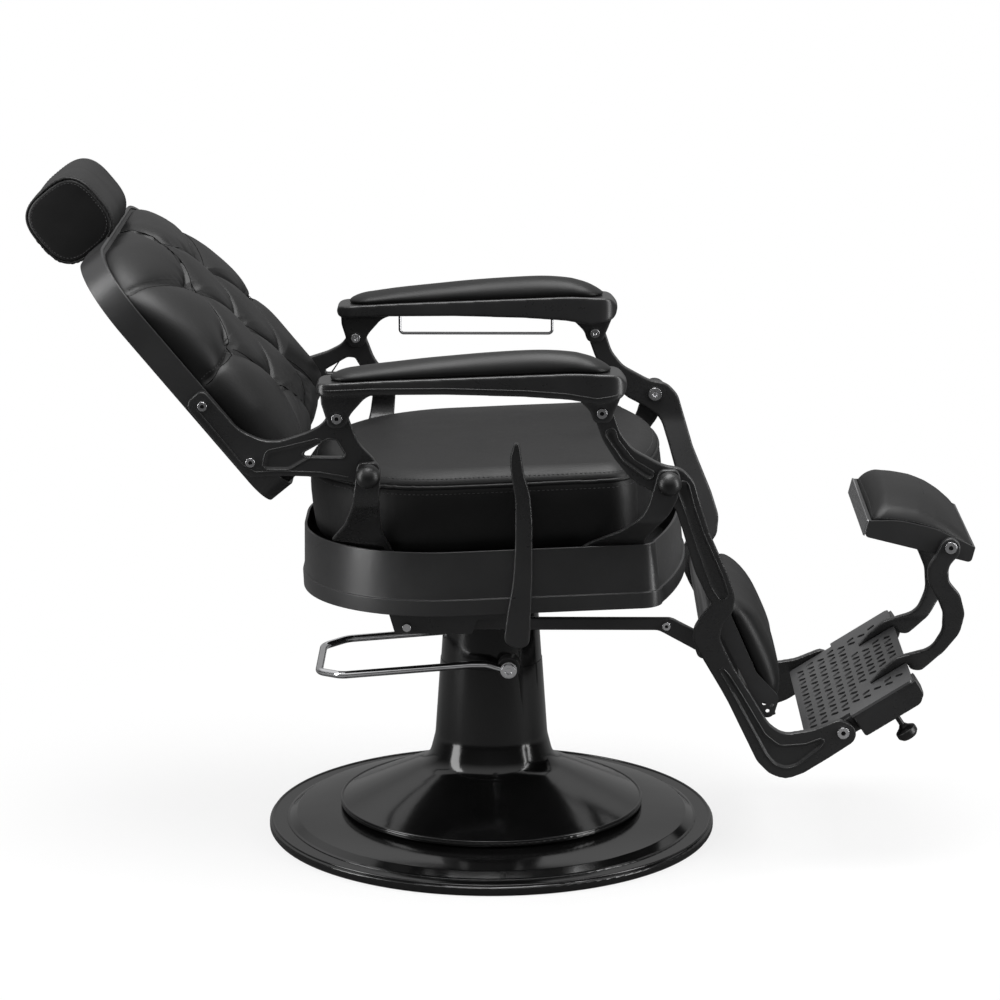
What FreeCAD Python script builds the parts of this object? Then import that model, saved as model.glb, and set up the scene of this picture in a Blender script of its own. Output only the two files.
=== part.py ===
import FreeCAD, Part
import math
import os

V = FreeCAD.Vector
doc = FreeCAD.newDocument("barber_chair")
sheet = doc.addObject("Spreadsheet::Sheet", "sizes")

# Every driving dimension, in millimetres and degrees. The origin is the middle of the stand's underside,
# +X is the way the chair faces, +Y its left and +Z up; the chair is drawn lying back.
SIZES = [
    ("run_gap", 0.4, "side gap between pieces that move past each other"),
    ("bore_gap", 0.05, "radial running fit of a pin in its bore"),
    ("loop_gap", 1.6, "extra radial room at the pivot that closes the linkage"),
    ("mat_radius", 300.0, "rubber floor mat"),
    ("mat_thick", 3.0, "rubber floor mat"),
    ("base_radius", 330.0, "rim ring, outside"),
    ("rim_width", 26.0, "rim ring, radial width"),
    ("rim_top", 15.0, "rim ring, top"),
    ("disc_edge_top", 24.0, "floor disc above its bevel"),
    ("disc_inner_top", 36.0, "floor disc under the bell"),
    ("bell_radius", 224.0, "lip of the bell"),
    ("bell_wall", 4.0, "sheet of the bell and the collar"),
    ("neck_radius", 83.0, "foot of the column"),
    ("neck_z", 142.0, "foot of the column"),
    ("seam_radius", 75.0, "joint between the bell and the collar"),
    ("seam_z", 258.0, "joint between the bell and the collar"),
    ("collar_radius", 69.0, "top of the collar"),
    ("collar_z", 334.0, "top of the collar"),
    ("cylinder_radius", 36.0, "pump cylinder, outside"),
    ("ram_radius", 26.0, "lifting ram"),
    ("ram_foot", 60.0, "lower end of the ram when the chair is down"),
    ("ram_top", 366.0, "upper end of the ram when the chair is down"),
    ("pedal_x", 26.0, "pump pedal axis"),
    ("pedal_z", 266.0, "pump pedal axis"),
    ("pedal_half", 98.0, "pedal side rods from the middle plane"),
    ("pedal_rod", 5.5, "radius of the pedal rod"),
    ("pedal_reach", -251.0, "far end of the pedal loop"),
    ("seat_under", 393.0, "underside of the apron pan on the chair's axis"),
    ("seat_tilt", 2.6, "rise of the whole seat towards its front"),
    ("apron_step", 416.0, "top of the apron's foot band"),
    ("apron_top", 484.0, "apron rim"),
    ("apron_half", 261.0, "apron, half width at the band"),
    ("apron_rear", -271.0, "apron, rear"),
    ("apron_front", 241.0, "apron, front corners"),
    ("apron_bow", 41.0, "bow of the apron's front"),
    ("apron_round", 230.0, "rear corners of the apron"),
    ("apron_taper", 3.2, "lean of the apron wall"),
    ("apron_wall", 4.0, "apron sheet"),
    ("rail_inner", 173.0, "seat frame rails, inner face"),
    ("rail_outer", 208.0, "seat frame rails, outer face and foot of the uprights"),
    ("rail_low", 430.0, "seat frame rails, underside"),
    ("rail_top", 478.0, "seat frame rails, top"),
    ("rail_rear", -150.0, "seat frame rails, rear end"),
    ("rail_front", 222.0, "seat frame rails, front end"),
    ("board_thick", 12.0, "seat board and back board"),
    ("cushion_half", 236.0, "seat cushion, half width"),
    ("cushion_rear", -254.0, "seat cushion, rear"),
    ("cushion_front", 214.0, "seat cushion, front corners"),
    ("cushion_bow", 40.0, "bow of the seat cushion's front"),
    ("cushion_round", 208.0, "rear corners of the seat cushion"),
    ("cushion_seam", 571.5, "piped upper edge of the seat cushion"),
    ("cushion_crown", 601.0, "highest point of the seat cushion"),
    ("bar_mid", 289.0, "middle plane of the cast bars, from the centre"),
    ("bar_thick", 13.0, "thickness of the cast bars"),
    ("upright_in", 297.0, "uprights, inner face at the pivots"),
    ("upright_thick", 12.0, "uprights"),
    ("rear_x", -166.0, "back pivot"),
    ("rear_z", 605.0, "back pivot"),
    ("front_x", 247.5, "leg pivot"),
    ("front_z", 595.0, "leg pivot"),
    ("arm_rear_x", -209.0, "arm pivot on the back bracket"),
    ("arm_rear_z", 683.0, "arm pivot on the back bracket"),
    ("arm_front_x", 155.0, "arm pivot on the leg bar"),
    ("arm_front_z", 691.0, "arm pivot on the leg bar"),
    ("pivot_radius", 7.0, "main pivot bolts"),
    ("arm_pin", 5.0, "arm pivot bolts"),
    ("ball_radius", 17.0, "ball nuts"),
    ("fork_wall", 9.0, "cheeks of the arm forks"),
    ("arm_width", 70.0, "arm frames"),
    ("arm_pad_width", 60.0, "arm pads"),
    ("back_lean", 39.5, "back from upright, degrees"),
    ("back_x", -304.0, "foot of the back shell"),
    ("back_z", 553.0, "foot of the back shell"),
    ("back_high", 418.0, "height of the back shell"),
    ("shell_depth", 38.0, "depth of the back shell"),
    ("shell_wall", 5.0, "wall of the back shell"),
    ("head_low", 421.0, "underside of the head-rest above the foot of the back"),
    ("head_half", 95.0, "head-rest, half width"),
    ("leg_low_mid", 184.0, "middle plane of the leg bars at their feet"),
    ("leg_bend_top", 560.0, "where the leg bars start to close in"),
    ("leg_bend_low", 262.0, "where the leg bars run straight again"),
    ("calf_lean", 24.0, "calf panel from upright, degrees"),
    ("calf_x", 295.6, "reference point of the calf panel"),
    ("calf_z", 404.0, "reference point of the calf panel"),
    ("calf_half", 158.0, "calf pad, half width"),
    ("foot_x", 505.0, "foot-rest pivot"),
    ("foot_z", 200.0, "foot-rest pivot"),
    ("foot_tilt", 32.5, "tread from level, degrees"),
    ("tread_top", 15.6, "tread above its pivot"),
    ("tread_thick", 4.0, "tread plate"),
    ("box_end", 128.0, "front end of the side boxes"),
    ("toe_x", 656.0, "foot pad pivot"),
    ("toe_z", 462.5, "foot pad pivot"),
    ("toe_tilt", 14.0, "foot pad from level, degrees"),
    ("toe_half", 132.0, "foot pad tray, half width"),
    ("bar_slide_y", -150.0, "push bar plane"),
    ("bar_slide_z", 350.0, "push bar, middle height"),
    ("lever_x", 38.0, "recline lever shaft"),
    ("lever_z", 371.0, "recline lever shaft"),
    ("lever_y", -281.0, "recline lever, middle plane"),
]
for row, (alias, value, note) in enumerate(SIZES, 1):
    sheet.set(f"A{row}", note)
    sheet.set(f"B{row}", str(value))
    sheet.setAlias(f"B{row}", alias)
doc.recompute()
nodes = []
SIDES = (("right", -1), ("left", 1))


def val(alias):
    return float(sheet.get(alias))


def edge_loop(points):
    """Lines and corner arcs of a closed outline whose corners are (a, b) or (a, b, radius)."""
    count = len(points)
    cuts = []
    for i, corner in enumerate(points):
        here = V(corner[0], corner[1], 0)
        radius = corner[2] if len(corner) > 2 else 0.0
        before = V(points[i - 1][0], points[i - 1][1], 0) - here
        after = V(points[(i + 1) % count][0], points[(i + 1) % count][1], 0) - here
        reach = min(before.Length, after.Length)
        before.normalize()
        after.normalize()
        half = before.getAngle(after) / 2
        if radius <= 0 or half > math.pi / 2 - 0.004:
            cuts.append((here, None, here))
            continue
        back = min(radius / math.tan(half), 0.49 * reach)
        radius = back * math.tan(half)
        middle = before + after
        middle.normalize()
        centre = here + middle * (radius / math.sin(half))
        cuts.append((here + before * back, centre - middle * radius, here + after * back))
    edges = []
    for i, (start, mid, end) in enumerate(cuts):
        if mid is not None:
            edges.append(Part.Arc(start, mid, end))
        following = cuts[(i + 1) % count][0]
        if (following - end).Length > 1e-6:
            edges.append(Part.LineSegment(end, following))
    return edges


def plan(half, rear, front, bow, rear_radius, front_radius):
    """Seat outline from above: round rear corners, small front corners and a bowed front."""
    k = math.sqrt(0.5)
    right = [
        Part.LineSegment(V(rear, half - rear_radius, 0), V(rear, rear_radius - half, 0)),
        Part.Arc(
            V(rear, rear_radius - half, 0),
            V(rear + rear_radius * (1 - k), -half + rear_radius * (1 - k), 0),
            V(rear + rear_radius, -half, 0),
        ),
        Part.LineSegment(V(rear + rear_radius, -half, 0), V(front - front_radius, -half, 0)),
        Part.Arc(
            V(front - front_radius, -half, 0),
            V(front - front_radius * (1 - k), -half + front_radius * (1 - k), 0),
            V(front, front_radius - half, 0),
        ),
        Part.Arc(V(front, front_radius - half, 0), V(front + bow, 0, 0), V(front, half - front_radius, 0)),
        Part.Arc(
            V(front, half - front_radius, 0),
            V(front - front_radius * (1 - k), half - front_radius * (1 - k), 0),
            V(front - front_radius, half, 0),
        ),
        Part.LineSegment(V(front - front_radius, half, 0), V(rear + rear_radius, half, 0)),
        Part.Arc(
            V(rear + rear_radius, half, 0),
            V(rear + rear_radius * (1 - k), half - rear_radius * (1 - k), 0),
            V(rear, half - rear_radius, 0),
        ),
    ]
    return right


def new_body(name):
    return doc.addObject("PartDesign::Body", name)


def sketch(body, name, role, loops, offset="0"):
    """A sketch on one of the body's own planes; XZ looks along +Y, so its offset counts towards -Y."""
    made = body.newObject("Sketcher::SketchObject", name)
    plane = [f for f in body.Origin.OriginFeatures if f.Role == role][0]
    made.AttachmentSupport = [(plane, "")]
    made.MapMode = "FlatFace"
    made.setExpression("AttachmentOffset.Base.z", offset)
    for loop in loops:
        made.addGeometry(loop, False)
    return made


def prism(name, role, loops, offset, length):
    """A body padded from one sketch; offset and length are expressions on the sheet."""
    body = new_body(name)
    outline = sketch(body, name + "_outline", role, loops, offset)
    pad = body.newObject("PartDesign::Pad", name + "_pad")
    pad.Profile = outline
    pad.setExpression("Length", length)
    outline.Visibility = False
    return body


def slab(name, loops, side, inner, outer):
    """A prism standing in a fore-and-aft plane, between two distances from the middle plane."""
    if side < 0:
        return prism(name, "XZ_Plane", loops, f"({inner})", f"({outer}) - ({inner})")
    return prism(name, "XZ_Plane", loops, f"-({outer})", f"({outer}) - ({inner})")


def across(name, loops, high, length):
    """A prism standing in a fore-and-aft plane, from y = high towards the right."""
    return prism(name, "XZ_Plane", loops, f"-({high})", length)


def turned(name, points):
    """A body turned about the vertical axis, from corners (radius, height[, fillet])."""
    body = new_body(name)
    outline = sketch(body, name + "_outline", "XZ_Plane", [edge_loop(points)])
    made = body.newObject("PartDesign::Revolution", name + "_turn")
    made.Profile = outline
    made.ReferenceAxis = (outline, ["V_Axis"])
    made.Angle = 360.0
    return body


def loft(name, role, stations):
    """A body through outlines; stations are (offset, edges)."""
    body = new_body(name)
    drawn = [
        sketch(body, f"{name}_section_{i}", role, [edges], str(offset))
        for i, (offset, edges) in enumerate(stations)
    ]
    made = body.newObject("PartDesign::AdditiveLoft", name + "_loft")
    made.Profile = drawn[0]
    made.Sections = drawn[1:]
    made.Ruled = True
    return body


def cylinder(name, radius, height, place):
    made = doc.addObject("Part::Cylinder", name)
    made.setExpression("Radius", radius)
    made.setExpression("Height", height)
    made.Placement = place
    return made


def fuse(name, pieces):
    made = doc.addObject("Part::MultiFuse", name)
    made.Shapes = pieces
    made.Refine = True
    return made


def cut(name, base, tools):
    made = doc.addObject("Part::Cut", name)
    made.Base = base
    made.Tool = tools[0] if len(tools) == 1 else fuse(name + "_tools", tools)
    made.Refine = True
    return made


def common(name, first, second):
    made = doc.addObject("Part::Common", name)
    made.Base = first
    made.Tool = second
    made.Refine = True
    return made


def gather(name, pieces):
    made = doc.addObject("Part::Compound", name)
    made.Links = pieces
    return made


def sideways(x, y, z):
    """Placement of a cylinder whose axis runs towards +Y from the point given."""
    return FreeCAD.Placement(V(x, y, z), FreeCAD.Rotation(V(1, 0, 0), -90))


def upright_at(x, y, z):
    return FreeCAD.Placement(V(x, y, z), FreeCAD.Rotation())


def leaning(x, z, degrees):
    """A frame in the middle plane whose own Z leans by degrees towards -X."""
    return FreeCAD.Placement(V(x, 0, z), FreeCAD.Rotation(V(0, 1, 0), -degrees))


def pin(name, radius, x, z, side, inner, outer):
    """A round bar across the chair between two distances from the middle plane."""
    low = inner if side > 0 else -outer
    return cylinder(name, str(radius), str(outer - inner), sideways(x, low, z))


def node(name, made, place=None):
    made.Label = name
    if place is not None:
        made.Placement = place
    nodes.append(made)
    return made


bar_in = val("bar_mid") - val("bar_thick") / 2
bar_out = val("bar_mid") + val("bar_thick") / 2
upright_in = val("upright_in")
upright_out = upright_in + val("upright_thick")
run_gap = val("run_gap")
bore_gap = val("bore_gap")
rear = (val("rear_x"), val("rear_z"))
front = (val("front_x"), val("front_z"))
arm_rear = (val("arm_rear_x"), val("arm_rear_z"))
arm_front = (val("arm_front_x"), val("arm_front_z"))
pivot_radius = val("pivot_radius")
arm_pin = val("arm_pin")

# Stand
mat_top = val("mat_thick")
base_radius = val("base_radius")
rim_in = base_radius - val("rim_width")
rim_top = val("rim_top")
node("base_mat", cylinder("base_mat", "sizes.mat_radius", "sizes.mat_thick", upright_at(0, 0, 0)))
node(
    "base_rim",
    turned(
        "base_rim",
        [(rim_in, mat_top), (base_radius - 3, 0.0, 2.0), (base_radius, 4.0, 3.0),
            (base_radius, rim_top - 3, 3.0),
         (base_radius - 5, rim_top, 3.0), (rim_in, rim_top)],
    ),
)
disc_edge = val("disc_edge_top")
disc_top = val("disc_inner_top")
bell_radius = val("bell_radius")
cylinder_radius = val("cylinder_radius")
node(
    "base_disc",
    turned(
        "base_disc",
        [(0, mat_top), (rim_in, mat_top), (rim_in, rim_top + 1, 1.5), (rim_in - 4, rim_top + 2, 1.5),
         (rim_in - 15, disc_edge, 4.0), (bell_radius - 12, disc_top), (60, disc_top), (60, 20), (0, 20)],
    ),
)
bell_wall = val("bell_wall")
neck_radius = val("neck_radius")
neck_z = val("neck_z")
seam_radius = val("seam_radius")
seam_z = val("seam_z")
bell_points = [
    (bell_radius - 10, disc_top),
    (bell_radius, disc_top + 1, 3.0),
    (bell_radius, disc_top + 8, 4.0),
    (bell_radius - 14, disc_top + 14, 20.0),
    (neck_radius + 42, 88.0, 60.0),
    (neck_radius + 10, 103.0, 34.0),
    (neck_radius, neck_z, 60.0),
    (seam_radius, seam_z),
    (seam_radius - bell_wall, seam_z),
    (neck_radius - bell_wall, neck_z, 60.0),
    (neck_radius + 10 - bell_wall, 103.0 - bell_wall, 34.0),
    (neck_radius + 42, 88.0 - bell_wall, 60.0),
    (bell_radius - 14, disc_top + 14 - bell_wall, 20.0),
    (bell_radius - 10, disc_top + 8 - bell_wall, 2.0),
]
pedal_x = val("pedal_x")
pedal_z = val("pedal_z")
pedal_half = val("pedal_half")
boss_radius = 16.0
boss_hole = cylinder("boss_hole", str(boss_radius), "300", sideways(pedal_x, -150, pedal_z))
node("column_bell", cut("column_bell", turned("bell_blank", bell_points), [boss_hole]))
collar_radius = val("collar_radius")
collar_z = val("collar_z")
collar_blank = turned(
    "collar_blank",
    [(seam_radius - 0.8, seam_z), (collar_radius, collar_z, 3.0), (collar_radius - 8, collar_z),
     (collar_radius - 8, collar_z - bell_wall), (collar_radius - bell_wall, collar_z - bell_wall),
     (seam_radius - 0.8 - bell_wall, seam_z)],
)
boss_hole_2 = cylinder("boss_hole_2", str(boss_radius), "300", sideways(pedal_x, -150, pedal_z))
node("column_collar", cut("column_collar", collar_blank, [boss_hole_2]))
ram_radius = val("ram_radius")
gland_low = collar_z - 30
node(
    "pump_cylinder",
    turned(
        "pump_cylinder",
        [(0, 20), (59, 20), (59, 32), (cylinder_radius, 32), (cylinder_radius, gland_low),
         (ram_radius + 5, gland_low), (ram_radius + 5, 48), (0, 48)],
    ),
)
node(
    "pump_gland",
    turned(
        "pump_gland",
        [(ram_radius + bore_gap, gland_low), (collar_radius - 8, gland_low),
            (collar_radius - 8, collar_z - 2, 3.0),
         (ram_radius + bore_gap, collar_z - 2)],
    ),
)
bosses = []
for word, side in SIDES:
    outer = cylinder(
        "boss_" + word, str(boss_radius), "34", sideways(pedal_x, 56 if side > 0 else -90, pedal_z)
    )
    hole = cylinder(
        "boss_bore_" + word, "8 + sizes.bore_gap", "60", sideways(pedal_x, 50 if side > 0 else -110, pedal_z)
    )
    bosses.append(cut("pedal_boss_" + word, outer, [hole]))
node("pedal_bosses", gather("pedal_bosses", bosses))

# Foot pump pedal: one bent rod with an eye at each end
rod = val("pedal_rod")
reach = val("pedal_reach")


def pedal_path():
    """Middle line of the pedal rod: near eye, kink, side rod, round end and back again."""
    near = [
        V(pedal_x - 8, -pedal_half, pedal_z), V(-6, -pedal_half, pedal_z + 7),
        V(-28, -pedal_half, pedal_z + 7),
        V(reach + 34, -pedal_half, pedal_z - 9), V(reach, -pedal_half + 30, pedal_z - 12),
    ]
    far = [V(p.x, -p.y, p.z) for p in reversed(near)]
    return near + far


def bent_wire(points, radius):
    """A wire along points with its inner corners rounded."""
    edges = []
    start = points[0]
    for i in range(1, len(points) - 1):
        before = points[i - 1] - points[i]
        after = points[i + 1] - points[i]
        shortest = min(before.Length, after.Length)
        before.normalize()
        after.normalize()
        half = before.getAngle(after) / 2
        back = min(radius / math.tan(half), 0.45 * shortest)
        bend = back * math.tan(half)
        middle = before + after
        middle.normalize()
        first = points[i] + before * back
        last = points[i] + after * back
        centre = points[i] + middle * (bend / math.sin(half))
        edges.append(Part.LineSegment(start, first).toShape())
        edges.append(Part.Arc(first, centre - middle * bend, last).toShape())
        start = last
    edges.append(Part.LineSegment(start, points[-1]).toShape())
    return Part.Wire(edges)


def round_bar(points, radius, bend):
    path = bent_wire(points, bend)
    direction = points[1] - points[0]
    profile = Part.Wire([Part.Circle(points[0], direction, radius).toShape()])
    return path.makePipeShell([profile], True, False)


pedal = doc.addObject("Part::Feature", "pedal_rod_solid")
pedal.Shape = round_bar(pedal_path(), rod, 26.0)
eyes = []
for word, side in SIDES:
    low = pedal_half - rod
    eye = pin("pedal_eye_" + word, 12.0, pedal_x, pedal_z, side, low, pedal_half + rod)
    eyes.append(eye)
eye_bores = [
    pin("pedal_eye_bore_" + word, 6.0, pedal_x, pedal_z, side, pedal_half - 20, pedal_half + 20) for word,
    side in SIDES
]
node("pump_pedal", cut("pump_pedal", fuse("pump_pedal_solid", [pedal] + eyes), eye_bores))
pedal_bolts = []
for word, side in SIDES:
    face = pedal_half + rod
    shaft = pin("pedal_shaft_" + word, 8.0, pedal_x, pedal_z, side, 44.0, pedal_half - rod)
    cap = pin("pedal_cap_" + word, 10.0, pedal_x, pedal_z, side, face, face + 5)
    core = pin("pedal_core_" + word, 6.0, pedal_x, pedal_z, side, pedal_half - rod, face)
    socket = pin("pedal_socket_" + word, 4.5, pedal_x, pedal_z, side, face + 1.5, face + 9)
    pedal_bolts.append(cut("pedal_bolt_" + word, fuse("pedal_bolt_solid_" + word, [shaft, core, cap]),
        [socket]))
node("pedal_bolts", gather("pedal_bolts", pedal_bolts))

# Ram and swivel
ram_top = val("ram_top")
ram_foot = val("ram_foot")
seat_under = val("seat_under")
plate_low = seat_under - 12
node(
    "pump_ram",
    turned(
        "pump_ram",
        [(0, ram_foot), (ram_radius, ram_foot, 2.0), (ram_radius, ram_top - 22),
            (ram_radius + 8, ram_top - 22),
         (ram_radius + 8, ram_top - 19), (ram_radius - 6.18, ram_top - 19),
         (ram_radius - 8, ram_top + 12, 2.0),
         (0, ram_top + 12)],
    ),
)
hub_low = ram_top - 19 + run_gap
taper = 2.0 / 34.0
seat_place = FreeCAD.Placement(V(), FreeCAD.Rotation(V(0, 1, 0), -val("seat_tilt")), V(0, 0, seat_under))


def under_pan(x):
    """Height of the tilted underside of the seat."""
    return seat_under + x * math.tan(math.radians(val("seat_tilt")))


flange = 118.0
plate_blank = turned(
    "swivel_plate_blank",
    [(ram_radius - 6 - taper * (hub_low - ram_top + 22) + bore_gap, hub_low), (ram_radius + 14, hub_low),
     (ram_radius + 20, plate_low, 6.0), (flange, plate_low), (flange, seat_under + 12), (0, seat_under + 12),
     (0, ram_top + 12 + run_gap), (ram_radius - 8 + bore_gap, ram_top + 12 + run_gap)],
)
over_pan = doc.addObject("Part::Box", "over_pan")
over_pan.Length = over_pan.Width = 4 * flange
over_pan.Height = 60
over_pan.Placement = seat_place.multiply(upright_at(-2 * flange, -2 * flange, seat_under))
node("swivel_plate", cut("swivel_plate", plate_blank, [over_pan]))

# Seat
apron_half = val("apron_half")
apron_rear = val("apron_rear")
apron_front = val("apron_front")
apron_bow = val("apron_bow")
wall = val("apron_wall")
step = 2.5


def apron_plan(inset):
    return plan(
        apron_half - inset, apron_rear + inset, apron_front - inset, apron_bow, val("apron_round") - inset,
        26.0 - min(inset, 14.0),
    )


band = prism("apron_band", "XY_Plane", [apron_plan(-step)], "sizes.seat_under",
    "sizes.apron_step - sizes.seat_under")
lean_in = (val("apron_top") - val("apron_step")) * math.tan(math.radians(val("apron_taper")))
wall_up = loft(
    "apron_wall_up", "XY_Plane",
    [(val("apron_step"), apron_plan(0.0)), (val("apron_top"), apron_plan(lean_in))],
)
apron_solid = fuse("apron_solid", [band, wall_up])
hollow_low = prism(
    "apron_hollow_low", "XY_Plane", [apron_plan(wall - step)], "sizes.seat_under + sizes.apron_wall",
    "sizes.apron_step - sizes.seat_under - sizes.apron_wall",
)
hollow_up = loft(
    "apron_hollow_up", "XY_Plane",
    [(val("apron_step"), apron_plan(wall)), (val("apron_top"), apron_plan(wall + lean_in))],
)
node("seat_apron", cut("seat_apron", apron_solid, [hollow_low, hollow_up]), seat_place)
pan_top = seat_under + wall
rail_rear = val("rail_rear")
rail_front = val("rail_front")
rails = []
for word, side in SIDES:
    rails.append(
        slab(
            "seat_rail_" + word,
            [edge_loop([(rail_rear, val("rail_low")), (rail_front, val("rail_low")),
                (rail_front, val("rail_top")),
                        (rail_rear, val("rail_top"))])],
            side, "sizes.rail_inner", "sizes.rail_outer",
        )
    )
for word, x in (("rear", -110.0), ("front", 70.0)):
    rails.append(
        across(
            "seat_cross_" + word,
            [edge_loop([(x, pan_top), (x + 40, pan_top), (x + 40, val("rail_top")), (x, val("rail_top"))])],
            "sizes.rail_inner + 5", "2 * (sizes.rail_inner + 5)",
        )
    )
node("seat_frame", fuse("seat_frame", rails), seat_place)
cushion_half = val("cushion_half")
cushion_rear = val("cushion_rear")
cushion_front = val("cushion_front")
cushion_bow = val("cushion_bow")


def cushion_plan(inset):
    return plan(
        cushion_half - inset, cushion_rear + inset, cushion_front - inset, cushion_bow - 0.25 * inset,
        val("cushion_round") - 0.8 * inset, 44.0 + 0.5 * inset,
    )


node(
    "seat_board",
    prism("seat_board", "XY_Plane", [cushion_plan(10.0)], "sizes.rail_top", "sizes.board_thick"),
    seat_place,
)
cushion_low = val("rail_top") + val("board_thick")
seam = val("cushion_seam")
crown = val("cushion_crown")
node(
    "seat_cushion",
    loft(
        "seat_cushion", "XY_Plane",
        [(cushion_low, cushion_plan(8.0)), (cushion_low + 14, cushion_plan(2.0)),
            (seam - 44, cushion_plan(0.0)),
         (seam - 6, cushion_plan(1.0)), (seam + 2, cushion_plan(5.0)), (crown - 14, cushion_plan(24.0)),
         (crown - 5, cushion_plan(60.0)), (crown, cushion_plan(120.0))],
    ),
    seat_place,
)


foot_in = val("rail_outer")
foot_out = foot_in + val("upright_thick")
rim_z = val("apron_top")
# Crank of each upright seen from the front, as (distance from the middle, height, corner) on its inner face:
# up beside the rail, out over the rim and up to the pivot.
REAR_CRANK = [(foot_in, 400), (foot_in, rim_z - 2, 30), (upright_in, rim_z + 82, 40), (upright_in, 660)]
FRONT_CRANK = [
    (foot_in, 400), (foot_in, rim_z - 26, 8), (foot_in + 30, rim_z - 2, 8), (foot_in + 30, rim_z + 9, 10),
    (upright_in, rim_z + 56, 20), (upright_in, 660),
]


def upright(name, side, outline, crank):
    """A bent cast plate: its side outline met by the cranked strip seen from the front."""
    flat = slab(name + "_side", [edge_loop(outline)], side, "sizes.rail_outer - 5", "sizes.upright_in + 40")
    thick = val("upright_thick")
    inner = [(side * point[0],) + point[1:] for point in crank]
    outer = [(side * (point[0] + thick),) + point[1:] for point in crank]
    cranked = prism(name + "_strip", "YZ_Plane", [edge_loop(outer + inner[::-1])], "-400", "800")
    return common(name + "_bent", flat, cranked)


hub = 17.0
heel = val("rail_rear") + 2
rear_outline = [
    (rear[0] - hub, rear[1], 12), (rear[0] - hub + 2, rear[1] + hub, 14),
    (rear[0] + hub - 2, rear[1] + hub, 14),
    (rear[0] + hub, rear[1], 12), (rear[0] + 14, 560, 60), (rear[0] + 15, 520, 40), (heel, 500, 10),
    (heel + 8, rim_z - 2), (heel + 14, rim_z - 14), (heel + 36, rim_z - 18), (heel + 36, rim_z - 44),
    (heel, rim_z - 44), (heel, rim_z - 3), (rear[0] - 52, rim_z + 7), (rear[0] - 56, rim_z + 9, 2),
    (rear[0] - 36, 522, 50), (rear[0] - 23, 560, 80),
]
front_outline = [
    (front[0] - hub, front[1] + 4, 12), (front[0] - hub + 4, front[1] + hub, 14),
    (front[0] + hub - 4, front[1] + hub, 14),
    (front[0] + hub, front[1] + 2, 12), (front[0] + 13, 572, 30), (front[0] + 2, 550, 30),
    (front[0] - 16, 526, 30),
    (front[0] - 30, 502, 20), (front[0] - 34, rim_z - 48), (front[0] - 118, rim_z - 48),
    (front[0] - 120, 487, 10),
    (front[0] - 62, 520, 70), (front[0] - 30, 552, 60),
]
for word, side in SIDES:
    for label, outline, crank, at in (
        ("rear", rear_outline, REAR_CRANK, rear), ("front", front_outline, FRONT_CRANK, front),
    ):
        name = f"{label}_upright_{word}"
        bent = upright(name, side, outline, crank)
        hole = pin(name + "_hole", pivot_radius, at[0], at[1], side, upright_in - 20, upright_out + 20)
        node(name, cut(name, bent, [hole]))
bolts, balls, washers = [], [], []
ball_mid = upright_out + 11.0
for word, side in SIDES:
    for label, at in (("rear", rear), ("front", front)):
        name = f"{label}_{word}"
        shank = pin("pivot_shank_" + name, pivot_radius, at[0], at[1], side, bar_in - run_gap, ball_mid)
        head = pin("pivot_head_" + name, 10.0, at[0], at[1], side, bar_in - run_gap - 5, bar_in - run_gap)
        socket = pin("pivot_socket_" + name, 3.5, at[0], at[1], side, bar_in - run_gap - 9,
            bar_in - run_gap - 2)
        bolts.append(cut("pivot_bolt_" + name, fuse("pivot_bolt_solid_" + name, [shank, head]), [socket]))
        ball = doc.addObject("Part::Sphere", "ball_" + name)
        ball.setExpression("Radius", "sizes.ball_radius")
        ball.Placement = upright_at(at[0], side * ball_mid, at[1])
        seat_cut = pin("ball_flat_" + name, 30.0, at[0], at[1], side, upright_out - 30, upright_out)
        bore = pin("ball_bore_" + name, pivot_radius, at[0], at[1], side, upright_out - 30, ball_mid)
        balls.append(cut("ball_nut_" + name, ball, [seat_cut, bore]))
        disc = pin("washer_disc_" + name, 14.0, at[0], at[1], side, bar_out + run_gap, upright_in)
        disc_bore = pin("washer_bore_" + name, pivot_radius, at[0], at[1], side, bar_out - 5, upright_in + 5)
        washers.append(cut("pivot_washer_" + name, disc, [disc_bore]))
node("ball_nuts", gather("ball_nuts", balls))
node("pivot_washers", gather("pivot_washers", washers))

# Recline control under the seat
slide_y = val("bar_slide_y")
slide_z = val("bar_slide_z")
lever_x = val("lever_x")
lever_z = val("lever_z")
lever_y = val("lever_y")
slot_top = slide_z + 9 + run_gap
guide_outline = [
    (-150, under_pan(-150)), (-136, slide_z - 12, 4), (-26, slide_z - 12, 4), (-18, slot_top),
    (lever_x + 18, slot_top, 6),
    (lever_x + 26, under_pan(lever_x + 26)),
]
guide_blank = across("lock_guide_blank", [edge_loop(guide_outline)], "sizes.bar_slide_y + 15", "30")
guide_hole = across(
    "lock_guide_hole",
    [edge_loop([(-300, slide_z - 9 - run_gap), (300, slide_z - 9 - run_gap), (300, slide_z + 9 + run_gap),
                (-300, slide_z + 9 + run_gap)])],
    "sizes.bar_slide_y + 5 + sizes.run_gap", "10 + 2 * sizes.run_gap",
)
lever_hole = pin("lever_hole", 8.0 + bore_gap, lever_x, lever_z, -1, -slide_y - 10, -slide_y + 40)
node("recline_lock", cut("recline_lock", guide_blank, [guide_hole, lever_hole]))
bolts.append(pin("lock_bolt", 6.0, -119.0, slide_z - 2, -1, -slide_y + 15, -slide_y + 20))
node("pivot_bolts", gather("pivot_bolts", bolts))
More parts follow.
